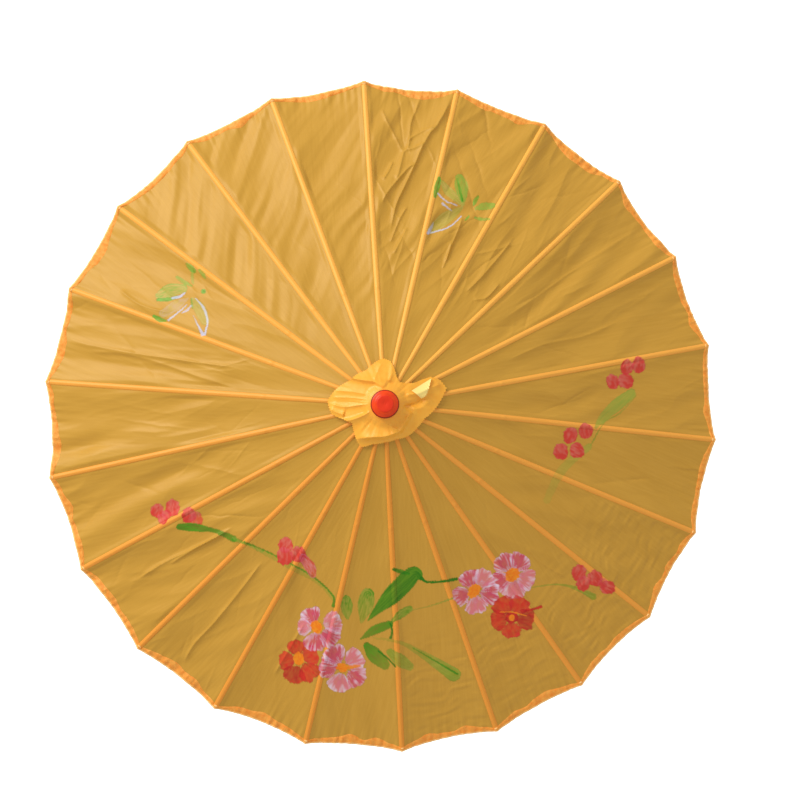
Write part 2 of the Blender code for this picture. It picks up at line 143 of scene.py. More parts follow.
# ---------------------------------------------------------------- the painting, in plan on the open cloth
PINK = (0.64, 0.050, 0.140)
ROSE = (0.76, 0.170, 0.260)
LAVENDER = (0.86, 0.72, 0.88)
RED = (0.68, 0.020, 0.014)
DEEP_RED = (0.46, 0.009, 0.012)
BUD_RED = (0.66, 0.024, 0.030)
BUD_PINK = (0.74, 0.130, 0.150)
ORANGE = (0.90, 0.200, 0.006)
YELLOW = (0.93, 0.29, 0.010)
LEAF = (0.040, 0.275, 0.003)
DARK_LEAF = (0.010, 0.175, 0.001)
PALE_LEAF = (0.23, 0.37, 0.040)
WING_GREEN = (0.14, 0.44, 0.045)
WING_OLIVE = (0.50, 0.46, 0.120)
WING_WHITE = (0.58, 0.62, 0.80)
WING_LILAC = (0.54, 0.50, 0.62)
FLAP_SHEEN = (1.0, 0.86, 0.30)
PAINT_GROWN = 1.009  # the painting is laid out a little larger than it is drawn
EDGE_BLUR = 0.45 * MM
BUD_SWELL = 1.22  # each bud is painted this much larger than it is first laid out


class Paint:
    """Colour and cover laid on plan points, one brush stroke over another."""

    def __init__(self, x, y):
        self.x, self.y = x.ravel() * PAINT_GROWN, y.ravel() * PAINT_GROWN
        self.colour = np.zeros((self.x.size, 3))
        self.cover = np.zeros(self.x.size)

    def near(self, x, y, reach):
        """The points that a stroke of this reach can touch."""
        return np.flatnonzero((np.abs(self.x - x) < reach) & (np.abs(self.y - y) < reach))

    def lay(self, where, colour, cover):
        below = self.cover[where] * (1 - cover)
        total = np.maximum(cover + below, 1e-9)
        colour = np.broadcast_to(np.asarray(colour, float), (len(where), 3))
        mixed = colour * cover[:, None] + self.colour[where] * below[:, None]
        self.colour[where] = mixed / total[:, None]
        self.cover[where] = cover + below

    def rgba(self, shape):
        return np.concatenate([self.colour, self.cover[:, None]], axis=1).reshape(*shape, 4)


def mixed(a, b, share):
    share = np.clip(share, 0, 1)[:, None]
    return np.asarray(a) * (1 - share) + np.asarray(b) * share


def local(paint, x, y, angle, reach):
    """Points near (x, y), with how far along and across a line at this angle. Millimetres and degrees in."""
    where = paint.near(x * MM, y * MM, reach * MM)
    dx, dy = paint.x[where] - x * MM, paint.y[where] - y * MM
    c, s = math.cos(math.radians(angle)), math.sin(math.radians(angle))
    return where, (dx * c + dy * s) / MM, (dy * c - dx * s) / MM


def petal(paint, x, y, angle, length, width, body, edge, cover=0.93, seed=0):
    """A ruffled petal from its base at (x, y), streaked from body colour to edge colour."""
    where, along, across = local(paint, x, y, angle, length * 1.5)
    if not len(where):
        return
    middle, half = 0.55 * length, 0.5 * length
    spread = 0.5 * width * (0.70 + 0.55 * np.clip(along / length, 0, 1.2))
    turn = across / np.maximum(along + 3, 2.5)
    ruffle = 0.10 * noise(turn * 5, 0 * turn, seed) + 0.07 * noise(along / 2.4, across / 2.4, seed + 1)
    ring = np.sqrt(((along - middle) / half) ** 2 + (across / spread) ** 2) + ruffle
    inside = smooth((1 - ring) * 0.5 * min(length, width) * MM / EDGE_BLUR + 0.5)
    streak = noise(turn * 15, along / 8.0, seed + 3)
    pale = 0.10 + 0.60 * streak + 1.1 * (ring - 0.66) + 0.35 * noise(along / 5, across / 5, seed + 6)
    deep = np.clip(0.5 - 1.2 * along / length + 0.4 * streak, 0, 0.6)[:, None]
    thin = 0.88 + 0.12 * noise(along / 4.0, across / 2.0, seed + 5)
    shade = mixed(body, edge, pale) * (1 - 0.35 * deep)
    paint.lay(where, shade, inside * np.clip(cover * thin, 0, 1))


def blot(paint, x, y, radius, colour, other, cover=0.95, seed=0, stretch=1.0, angle=0):
    """A round dab with an uneven edge."""
    where, along, across = local(paint, x, y, angle, radius * stretch * 1.6)
    if not len(where):
        return
    ring = np.hypot(along / (radius * stretch), across / radius)
    ring = ring + 0.13 * noise(along / 2.2, across / 2.2, seed)
    inside = smooth((1 - ring) * radius * MM / EDGE_BLUR + 0.5)
    share = 0.5 + 0.8 * noise(along / 2.4, across / 1.4, seed + 1)
    paint.lay(where, mixed(colour, other, share), inside * cover)


def flower(paint, x, y, petals, palette, heart=5.0, seed=0):
    """Five petals, each an angle and how far its middle is, and a dabbed heart."""
    for k, (angle, reach) in enumerate(petals):
        body, edge, cover = palette[k % len(palette)]
        length = min(1.28 * reach, 22.5)
        start = reach - 0.56 * length
        c, s = math.cos(math.radians(angle)), math.sin(math.radians(angle))
        petal(paint, x + start * c, y + start * s, angle, length, 1.20 * length, body, edge, cover, seed + k)
    blot(paint, x, y, 1.1 * heart, ORANGE, YELLOW, 0.97, seed + 9, 1.25, 20 * seed)


def bud(paint, x, y, radius, seed=0, cover=0.93):
    """One round bud: red where the brush landed, thin and pink where it lifted."""
    radius = BUD_SWELL * radius
    where, along, across = local(paint, x, y, 40 + 30 * (seed % 5), radius * 1.7)
    if not len(where):
        return
    ring = np.hypot(along / (1.12 * radius), across / radius) + 0.12 * noise(along / 3, across / 3, seed)
    inside = smooth((1 - ring) * radius * MM / EDGE_BLUR + 0.5)
    pale = 0.22 + 0.32 * along / radius + 0.45 * noise(along / 4, across / 1.6, seed + 2)
    paint.lay(where, mixed(BUD_RED, BUD_PINK, pale), inside * cover * (1 - 0.2 * np.clip(pale, 0, 1)))


def buds(paint, places, seed):
    """Several buds, each with its place and radius."""
    for k, (x, y, radius) in enumerate(places):
        bud(paint, x, y, radius, seed + k)


def curve_through(points, steps=14):
    """Points of a smooth curve through given ones, each with any number of values."""
    p = np.asarray(points, float)
    p = np.vstack([2 * p[0] - p[1], p, 2 * p[-1] - p[-2]])
    t = np.linspace(0, 1, steps, endpoint=False)[:, None]
    made = []
    for a, b, c, d in zip(p, p[1:], p[2:], p[3:]):
        square, cube = 2 * a - 5 * b + 4 * c - d, 3 * b - a - 3 * c + d
        made.append(0.5 * (2 * b + (c - a) * t + square * t**2 + cube * t**3))
    return np.vstack([*made, p[-2][None]])


def nearest(line, px, py):
    """For each point: how far from the line, how far along, on which side, and the line's width there."""
    start, step = line[:-1], np.diff(line, axis=0)
    share = (px[:, None] - start[:, 0]) * step[:, 0] + (py[:, None] - start[:, 1]) * step[:, 1]
    share = np.clip(share / np.maximum((step[:, :2] ** 2).sum(axis=1), 1e-9), 0, 1)
    near_x, near_y = start[:, 0] + share * step[:, 0], start[:, 1] + share * step[:, 1]
    away = np.hypot(px[:, None] - near_x, py[:, None] - near_y)
    width = start[:, 2] + share * step[:, 2]
    rows, best = np.arange(len(px)), (away - 0.5 * width).argmin(axis=1)
    side = np.sign((px - start[best, 0]) * step[best, 1] - (py - start[best, 1]) * step[best, 0])
    return away[rows, best], (best + share[rows, best]) / len(start), side, width[rows, best]


def ridge(x, y, points, height, left, right):
    """Height, in millimetres, of a fold whose crest follows plan points, with a width for either side."""
    line = curve_through([(*point, 0) for point in points], 6)
    low, high = line[:, :2].min(axis=0), line[:, :2].max(axis=0)
    reach = 3.2 * max(left, right)
    px, py = x / MM, y / MM
    near = (px > low[0] - reach) & (px < high[0] + reach) & (py > low[1] - reach) & (py < high[1] + reach)
    made = np.zeros(x.shape)
    if near.any():
        away, along, side, _ = nearest(line, px[near], py[near])
        width = np.where(side > 0, right, left)
        ends = smooth(along / 0.15 + 0.15) * smooth((1 - along) / 0.15 + 0.15)
        made[near] = height * ends * np.exp(-((away / width) ** 1.15))
    return made


def stroke(paint, points, colour, other=None, cover=(1.0, 1.0), dry=0.25, seed=0):
    """A brush stroke through (x, y, width) points in millimetres, with the cover at its two ends."""
    line = curve_through(points)
    middle = line[:, :2].mean(axis=0)
    reach = np.abs(line[:, :2] - middle).max() + line[:, 2].max() + 2
    where = paint.near(middle[0] * MM, middle[1] * MM, reach * MM)
    if not len(where):
        return
    px, py = paint.x[where] / MM, paint.y[where] / MM
    away, along, side, width = nearest(line, px, py)
    edge = away - 0.5 * np.maximum(width, 0.1)
    ragged = 0.35 * noise(px / 1.6, py / 1.6, seed)
    inside = smooth(-(edge + ragged) * MM / EDGE_BLUR + 0.5)
    bristle = noise(along * 7, side * away / 0.9, seed + 4)
    level = cover[0] + (cover[1] - cover[0]) * along
    amount = inside * np.clip(level * (1 - dry * (0.5 + 0.5 * bristle)), 0, 1)
    shade = mixed(colour, other or colour, 0.45 + 0.7 * bristle)
    paint.lay(where, shade, amount)


def strokes(paint, table, seed):
    """A table of strokes: points, two colours, cover at either end, and dryness."""
    for k, (points, colour, other, cover, dry) in enumerate(table):
        stroke(paint, points, colour, other, cover, dry, seed + k)


PINKS = ((PINK, LAVENDER, 0.95), (ROSE, LAVENDER, 0.88), (PINK, LAVENDER, 0.90))
REDS = ((RED, DEEP_RED, 0.97), (RED, BUD_RED, 0.97), (DEEP_RED, RED, 0.97))


LEFT_STEM = (
    (
        ((-230, -161, 7), (-217, -160, 10), (-205, -160, 9), (-190, -161, 5), (-177, -164, 6),
         (-163, -169, 8)),
        LEAF, DARK_LEAF, (0.97, 0.85), 0.15,
    ),
    (((-163, -169, 5), (-149, -173, 3), (-128, -181, 3)), LEAF, PALE_LEAF, (0.85, 0.7), 0.3),
    (
        ((-128, -181, 5), (-107, -189, 6), (-88, -198, 6), (-66, -208, 4), (-50, -218, 5), (-40, -228, 6)),
        PALE_LEAF, LEAF, (0.45, 0.45), 0.5,
    ),
    (
        ((-150, -171, 2), (-107, -186, 1.8), (-66, -205, 2.2), (-41, -225, 2.2), (-39, -238, 4)),
        LEAF, DARK_LEAF, (0.85, 0.9), 0.2,
    ),
)


def paint_left_spray(paint):
    """The long stem at the left, with buds over it."""
    buds(paint, ((-259, -144, 6.5), (-240, -139, 7.5), (-251, -153, 5), (-247, -148, 4.5)), 11)
    bud(paint, -219, -146, 7, 16)
    bud(paint, -210, -150, 6.5, 17, 0.75)
    strokes(paint, LEFT_STEM, 21)
    buds(paint, ((-101, -171, 7), (-101, -184, 8), (-85, -180, 7.5)), 31)
    stroke(paint, ((-79, -184, 10), (-70, -194, 13), (-66, -203, 8)), BUD_RED, ROSE, (0.9, 0.7), 0.2, 35)


def paint_left_flowers(paint):
    """The two pink flowers and the red one at the bottom."""
    flower(paint, -75, -306, ((105, 14), (-165, 15), (-101, 20), (-48, 20), (23, 15)), REDS, 6, 41)
    flower(paint, -57, -265, ((119, 15), (-174, 14), (-92, 18), (-30, 20), (24, 20)), PINKS, 6, 51)
    flower(paint, -22, -312, ((-175, 17), (-95, 19), (-30, 20), (126, 18), (41, 18)), PINKS, 5, 61)
    stroke(paint, ((-28, -313, 4), (-14, -311, 5), (-2, -308, 3)), ORANGE, YELLOW, (0.95, 0.9), 0.1, 67)


LEAVES = (
    (((-24, -228, 9), (-23, -238, 14), (-21, -251, 4)), LEAF, PALE_LEAF, (0.9, 0.7), 0.25),
    (((0, -221, 16), (-1, -233, 19), (-4, -254, 4)), LEAF, PALE_LEAF, (0.9, 0.55), 0.3),
    (
        ((3, -252, 1.5), (15, -236, 11), (29, -219, 21), (43, -202, 22), (53, -191, 16), (61, -196, 5)),
        DARK_LEAF, LEAF, (0.95, 1.0), 0.12,
    ),
    (((61, -196, 4), (69, -200, 3), (86, -198, 3), (103, -194, 4)), DARK_LEAF, DARK_LEAF, (1, 1), 0.05),
    (((28, -188, 4), (36, -190, 5), (46, -192, 3)), DARK_LEAF, LEAF, (0.95, 0.9), 0.1),
    (((32, -250, 3), (41, -241, 10), (51, -234, 8)), LEAF, PALE_LEAF, (0.85, 0.8), 0.25),
    (((-3, -275, 2), (12, -263, 11), (29, -254, 9)), LEAF, DARK_LEAF, (0.8, 0.95), 0.2),
    (((30, -253, 2), (33, -262, 2.5), (32, -271, 3)), DARK_LEAF, DARK_LEAF, (0.95, 0.9), 0.1),
    (
        ((11, -272, 1.5), (43, -275, 4), (68, -286, 8), (92, -299, 13), (112, -310, 17)),
        PALE_LEAF, LEAF, (0.3, 0.85), 0.35,
    ),
    (((60, -281, 1.5), (88, -295, 2), (116, -309, 2.5)), LEAF, DARK_LEAF, (0.6, 0.9), 0.1),
    (((5, -283, 9), (16, -294, 18), (28, -304, 12)), LEAF, DARK_LEAF, (0.95, 0.7), 0.15),
    (((33, -288, 9), (46, -297, 15), (58, -304, 10)), PALE_LEAF, LEAF, (0.75, 0.65), 0.3),
    (((19, -288, 2), (31, -296, 2.2), (41, -305, 2)), DARK_LEAF, DARK_LEAF, (0.95, 0.9), 0.1),
    (((50, -236, 1.2), (76, -228, 1.4), (101, -217, 2)), PALE_LEAF, LEAF, (0.35, 0.8), 0.3),
)


def paint_leaves(paint):
    """The leaf cluster in the middle of the lower edge."""
    strokes(paint, LEAVES, 71)


def paint_right_flowers(paint):
    """Two pink flowers and a red one, with the buds to their right."""
    stem = ((189, -199, 1.2), (227, -192, 2), (254, -196, 5), (274, -204, 8))
    stroke(paint, stem, PALE_LEAF, LEAF, (0.5, 0.75), 0.3, 91)
    flower(paint, 170, -184, ((-149, 16), (-77, 18), (133, 18), (64, 17), (-16, 18)), PINKS, 7, 101)
    flower(paint, 126, -207, ((-2, 19), (-76, 17), (-156, 16), (117, 16), (57, 19)), PINKS, 6.5, 111)
    blot(paint, 175, -236, 7.5, RED, DEEP_RED, 0.97, 120)
    flower(paint, 175, -236, ((131, 18), (66, 17), (-4, 17), (-165, 16), (-83, 15)), REDS, 3, 121)
    stroke(paint, ((186, -226, 4), (198, -224, 3), (209, -220, 4)), RED, DEEP_RED, (0.95, 0.95), 0.05, 127)
    fold = ((160, -230, 1.2), (175, -229, 1.4), (192, -232, 1.2))
    stroke(paint, fold, ORANGE, YELLOW, (0.9, 0.9), 0.1, 128)
    buds(paint, ((252, -176, 7.5), (259, -189, 7), (273, -181, 7.5), (290, -191, 7)), 131)
    bud(paint, 283, -187, 5, 137, 0.7)


RIGHT_SPRAY = (
    (((300, 46, 11), (284, 32, 15), (266, 14, 11), (256, 0, 4)), PALE_LEAF, WING_GREEN, (0.85, 0.65), 0.6),
    (((306, 44, 1.5), (286, 20, 1.6), (266, 6, 1.4), (252, -22, 1.3)), LEAF, PALE_LEAF, (0.5, 0.7), 0.3),
    (((250, -24, 8), (229, -43, 10), (214, -62, 11), (203, -92, 9)), PALE_LEAF, WING_GREEN, (0.5, 0.22), 0.5),
)


def paint_right_spray(paint):
    """The broad, faded stem at the right, with eight buds."""
    strokes(paint, RIGHT_SPRAY, 141)
    buds(paint, ((225, -13, 7.5), (244, -6, 7), (215, -33, 7.5), (235, -30, 7.5)), 151)
    buds(paint, ((291, 77, 7), (306, 81, 7.5), (274, 57, 7), (291, 60, 7.5)), 161)


UPPER_BUTTERFLY = (
    (((46, 284, 4), (58, 270, 12), (74, 257, 6)), WING_OLIVE, WING_GREEN, (0.5, 0.55), 0.3),
    (((74, 252, 4), (55, 236, 15), (38, 218, 9)), WING_OLIVE, PALE_LEAF, (0.6, 0.5), 0.3),
    (((44, 287, 4), (42, 275, 7), (40, 262, 4)), WING_GREEN, LEAF, (0.9, 0.85), 0.2),
    (((69, 291, 11), (72, 279, 17), (75, 262, 7)), WING_GREEN, PALE_LEAF, (0.7, 0.75), 0.35),
    (((66, 289, 3), (70, 275, 4), (74, 261, 3)), LEAF, WING_GREEN, (0.5, 0.9), 0.3),
    (((44, 266, 2.6), (54, 258, 2.4), (68, 254, 1.4)), WING_WHITE, WING_LILAC, (0.8, 0.6), 0.35),
    (((50, 254, 3.4), (56, 250, 2.4), (62, 247, 1.6)), WING_WHITE, WING_LILAC, (0.8, 0.7), 0.35),
    (((74, 241, 1.8), (60, 225, 1.9), (38, 215, 2.0)), WING_WHITE, WING_WHITE, (0.8, 0.9), 0.25),
    (((41, 229, 1.4), (38, 221, 3.6), (35, 214, 3.4)), WING_WHITE, WING_LILAC, (0.5, 0.95), 0.2),
    (((93, 269, 3), (90, 263, 5), (88, 257, 2)), WING_GREEN, LEAF, (0.8, 0.8), 0.2),
    (((111, 259, 8), (101, 257, 10), (91, 253, 3)), WING_GREEN, PALE_LEAF, (0.75, 0.75), 0.25),
    (((108, 240, 3), (100, 240, 4), (91, 241, 3)), WING_GREEN, PALE_LEAF, (0.75, 0.75), 0.25),
    (((83, 242, 2), (81, 239, 3), (79, 236, 2)), WING_GREEN, LEAF, (0.75, 0.75), 0.2),
)


def paint_upper_butterfly(paint):
    """A small butterfly in thin green and white."""
    strokes(paint, UPPER_BUTTERFLY, 171)


LEFT_BUTTERFLY = (
    (((-246, 112, 3), (-259, 103, 13), (-273, 92, 11)), WING_OLIVE, WING_LILAC, (0.35, 0.4), 0.45),
    (((-240, 112, 4), (-230, 101, 14), (-221, 86, 11)), WING_OLIVE, PALE_LEAF, (0.6, 0.5), 0.35),
    (((-283, 114, 8), (-270, 121, 16), (-253, 124, 11)), WING_GREEN, WING_OLIVE, (0.7, 0.65), 0.35),
    (((-283, 109, 4), (-270, 110, 5), (-258, 114, 3)), WING_GREEN, LEAF, (0.95, 0.8), 0.15),
    (((-265, 112, 3), (-256, 114, 3.5), (-250, 119, 2)), WING_WHITE, WING_LILAC, (0.8, 0.9), 0.15),
    (((-246, 105, 1.5), (-253, 97, 2.2), (-266, 84, 2.6)), WING_WHITE, WING_WHITE, (0.6, 0.85), 0.3),
    (((-240, 104, 2.2), (-245, 98, 3.2), (-251, 94, 1.6)), WING_WHITE, WING_LILAC, (0.7, 0.85), 0.3),
    (
        ((-236, 113, 1.2), (-225, 102, 2.8), (-218, 86, 2.4), (-219, 69, 2.6)),
        WING_WHITE, WING_WHITE, (0.7, 0.92), 0.2,
    ),
    (((-236, 91, 1), (-229, 80, 2), (-222, 69, 4)), WING_WHITE, WING_LILAC, (0.5, 0.95), 0.1),
    (((-285, 88, 4), (-277, 84, 6), (-270, 83, 3)), WING_GREEN, LEAF, (0.95, 0.8), 0.15),
    (((-262, 138, 4), (-252, 132, 5), (-242, 128, 2)), WING_GREEN, PALE_LEAF, (0.65, 0.7), 0.3),
    (((-252, 155, 3), (-246, 150, 7), (-241, 146, 4)), WING_GREEN, LEAF, (0.6, 0.85), 0.25),
    (((-244, 146, 3), (-243, 137, 4), (-241, 131, 2)), PALE_LEAF, WING_GREEN, (0.6, 0.5), 0.3),
    (((-235, 148, 3), (-230, 143, 5), (-227, 138, 2)), WING_GREEN, PALE_LEAF, (0.7, 0.7), 0.25),
)


def paint_left_butterfly(paint):
    """The second butterfly, with two long white-edged wings."""
    strokes(paint, LEFT_BUTTERFLY, 191)
    blot(paint, -227, 122, 3, WING_GREEN, LEAF, 0.85, 205)
    body = ((-241, 112, 1.5), (-240, 106, 2.5), (-238, 100, 1.5))
    stroke(paint, body, LEAF, WING_GREEN, (0.7, 0.6), 0.2, 206)


def painted(x, y):
    """(rows, columns, 4) colour and cover of the painting at plan points."""
    paint = Paint(x, y)
    for part in (
        paint_left_spray,
        paint_leaves,
        paint_left_flowers,
        paint_right_flowers,
        paint_right_spray,
        paint_upper_butterfly,
        paint_left_butterfly,
    ):
        part(paint)
    return paint.rgba(x.shape)


# ---------------------------------------------------------------- the shape of the open cloth
CANOPY_START = 0.0190
SCALLOP = 0.0098
BAND_HALF = 3.2 * MM
BAND_CREST = 0.7 * MM
BAND_ROUND = 0.03  # how round the top of the strip over a rib is
BAND_STEP = 0.4  # how much of the strip's height is the step at its edges
PANEL_DROP = 0.9 * MM
FINE, COARSE, ROUGH = 1.15 * MM, 1.7 * MM, 4 * MM  # grid steps: painted or creased, plain, and a first look


def rib_crest(radius):
    """Height of the cloth's underside over a rib's middle."""
    return CLOTH_LOW.z + (RIM - radius) * FALL


def band_half(radius):
    """Half the width of the strip that is glued to a rib."""
    grown = BAND_HALF * (0.78 + 0.22 * smooth((radius - 0.04) / 0.10))
    return np.minimum(grown, 0.36 * RIM_CHORD * radius)


def rim_radius(panel, share):
    """How far out the cloth reaches at this share of the way from one rib to the next."""
    hollow = SCALLOP * (1 + 0.30 * lattice(panel, 3, 8))
    return RIM * (1 - hollow * 4 * share * (1 - share))


def panel_plan(panel, radius, share):
    """Plan place at this radius along the ribs and share of the chord from one rib to the next."""
    a, b = panel * PITCH, (panel + 1) * PITCH
    x = radius * ((1 - share) * math.cos(a) + share * math.cos(b))
    y = radius * ((1 - share) * math.sin(a) + share * math.sin(b))
    return x, y


CREASED = (math.radians(55), math.radians(115))  # the stretch of the canopy with the sharpest creases
CREASE_RISE = 2.4 * MM
CREASE_LINES = (  # crest in plan millimetres, then its height and its width on either side
    (
        ((52, 395), (45, 374), (35, 352), (28, 342), (19, 320), (12, 297), (3, 271), (-6, 243), (-10, 209)),
        1.5, 1.9, 3.6,
    ),
    (((14, 394), (9, 375), (4, 356), (3, 323), (-2, 314), (-6, 287), (-9, 278)), 1.1, 2.2, 2.8),
    (((3, 319), (11, 322), (22, 328)), 1.0, 1.8, 2.4),
    (((-33, 371), (-26, 355), (-19, 344), (-11, 330), (-3, 316)), 0.8, 1.7, 2.0),
    (((13, 301), (5, 294), (-4, 281), (-8, 275), (-17, 260), (-23, 245)), 1.1, 1.8, 2.4),
    (((-14, 302), (-18, 289), (-24, 276)), 0.9, 1.5, 2.0),
    (((8, 245), (1, 230), (-4, 214), (-9, 195)), 0.8, 1.6, 2.4),
    (((9, 217), (4, 202), (-4, 181)), 0.8, 1.6, 2.2),
    (((35, 352), (22, 347), (9, 338), (3, 331)), 0.8, 1.6, 2.2),
    (((75, 240), (71, 222), (64, 200), (58, 178)), 0.9, 1.8, 2.4),
    (((64, 206), (59, 183), (55, 170)), 0.8, 1.6, 2.2),
    (((138, 218), (120, 190), (101, 163), (84, 143)), 1.2, 2.0, 3.2),
    (((124, 159), (110, 140), (94, 135)), 1.0, 1.8, 2.6),
    (((-390, 52), (-347, 46), (-291, 40), (-240, 36), (-171, 31)), 1.0, 3.4, 2.2),
    (((-363, 40), (-314, 40), (-264, 30), (-219, 18), (-168, 6)), 0.8, 3.4, 2.4),
    (((-277, -229), (-247, -206), (-217, -188), (-190, -172), (-164, -154)), 1.2, 1.8, 2.6),
    (((-237, -205), (-205, -182), (-172, -161)), 1.0, 1.6, 2.0),
    (((-212, -322), (-200, -297), (-177, -268), (-149, -227), (-126, -191)), 1.2, 1.8, 2.4),
    (((-102, -325), (-86, -292), (-71, -260)), 0.8, 1.8, 2.4),
    (((130, 115), (173, 151), (214, 187), (256, 221), (298, 254)), 0.6, 2.0, 3.0),
    (((137, 66), (184, 92), (232, 108), (281, 135)), 0.6, 2.0, 3.0),
    (((182, -149), (203, -166), (237, -182)), 0.5, 1.6, 2.2),
    (((-330, 118), (-300, 100), (-262, 92)), 0.9, 2.2, 3.0),
)


RIPPLED = (285, 350)  # the panels, by the angle of their middles, with small ripples along the rim
RIPPLES_FROM, RIPPLE = 0.24, 0.80 * MM
SLANTS = (  # a stretch round the canopy, its soft folds' lean (all in degrees) and its lack of thin creases
    (8, 60, 8, 0.2), (98, 150, -46, 0.8), (150, 206, 6, 0.45), (206, 240, -24, 0.3), (240, 345, 20, 0.5),
)


def ridged(x, y, seed):
    """Noise whose crests are sharp, from -1 to 1."""
    return 1 - 2 * np.abs(noise(x, y, seed))


class Creases:
    """The soft folds of one panel: each has a middle, a lean, a length, a width and a height."""

    def __init__(self, panel):
        draw = np.random.default_rng(700 + panel)
        middle = math.degrees((panel + 0.5) * PITCH)
        count = 13
        self.radius = draw.uniform(0.14, 0.405, count)
        self.across = draw.uniform(-0.44, 0.44, count)
        self.lean = np.radians(draw.choice([-1, 1], count) * draw.uniform(3, 38, count))
        self.length = draw.uniform(0.014, 0.050, count)
        self.width = draw.uniform(1.3, 3.4, count) * MM
        self.height = draw.uniform(0.2, 1.0, count) * MM * draw.choice([-1, 1], count)
        self.panel = panel
        self.rippled = int(middle) in range(*RIPPLED)
        self.turn = draw.choice([-1, 1]) * draw.uniform(10, 34)
        self.calm = 0
        for low, high, turn, calm in SLANTS:
            if low < middle < high:
                self.turn, self.calm = turn, calm
        self.height = self.height * (1 - self.calm)
        self.strength = 0.90
        for angle, width, extra in ((62, 40, 0.70), (193, 34, 0.80), (290, 40, -0.30)):
            away = (middle - angle + 180) % 360 - 180
            self.strength += extra * math.exp(-((away / width) ** 2))

    def height_at(self, radius, share, x, y):
        middle = (share - 0.5) * RIM_CHORD * radius
        total = np.zeros(x.shape)
        for r, a, lean, length, width, height in zip(
            self.radius, self.across, self.lean, self.length, self.width, self.height
        ):
            dr, dm = radius - r, middle - a * RIM_CHORD * r
            along = dr * math.cos(lean) + dm * math.sin(lean)
            across = dm * math.cos(lean) - dr * math.sin(lean)
            across = across + 0.9 * MM * noise(along / 0.011, 0 * along, self.panel)
            total = total + height * np.exp(-((along / length) ** 2)) * np.exp(-np.abs(across / width) ** 1.3)
        total = (total + self.soft_folds(radius, middle)) * self.strength
        for points, height, left, right in CREASE_LINES:
            total = total + CREASE_RISE * ridge(x, y, points, height, left, right)
        return total

    def soft_folds(self, radius, middle):
        c, s = math.cos(math.radians(self.turn)), math.sin(math.radians(self.turn))
        warp = 0.007 * noise(radius / 0.055, middle / 0.055, 40 + self.panel)
        along, across = radius * c + middle * s, middle * c - radius * s + warp
        broad = 2.3 * MM * noise(along / 0.095, across / 0.018, 50 + self.panel)
        sharp = 0.80 * MM * ridged(along / 0.080, across / 0.0165, 70 + self.panel)
        fine = 0.07 * MM * ridged(along / 0.040, (across - warp) / 0.0062, 90 + self.panel)
        close = 1.1 * MM * noise(along / 0.060, across / 0.0085, 60 + self.panel)
        rippled = smooth((radius - RIPPLES_FROM) / 0.08) * self.rippled
        bent = radius / 0.0046 + 1.2 * noise(middle / 0.02, radius / 0.03, 84)
        ripples = RIPPLE * noise(bent, middle / 0.015, 80 + self.panel) * rippled
        return ripples + broad + sharp * (1 - self.calm) + close * self.calm * (abs(self.turn) > 40) + fine


CREASES = [Creases(panel) for panel in range(RIB_COUNT)]


def panel_height(panel, radius, share, sag):
    """Height of the cloth's surface in a panel, with its sag, its creases and the puckers along the hem."""
    chord = RIM_CHORD * radius
    from_band = np.minimum(share, 1 - share) * chord - band_half(radius)
    free = smooth(from_band / (6 * MM))
    to_rim = rim_radius(panel, share) - radius
    pull = noise(share * 9 + 3.1 * panel, 0 * radius, 30 + panel)
    pucker = 1.0 * MM * np.exp(-np.abs(to_rim) / 0.014) * np.sin(share * chord / (1.7 * MM) + 2.2 * pull)
    pucker = pucker * (0.55 + 0.45 * pull)
    x, y = panel_plan(panel, radius, share)
    folds = CREASES[panel].height_at(radius, share, x, y)
    inner = smooth((radius - 0.06) / 0.16)
    return rib_crest(radius) - PANEL_DROP + free * (sag + inner * (folds + pucker))


# ---------------------------------------------------------------- cloth simulation of the panels' sag
SAG_ROWS, SAG_COLUMNS, SAG_FRAMES = 46, 13, 18
SAG_MOST = 7 * MM
SAG_SMOOTHED = 5


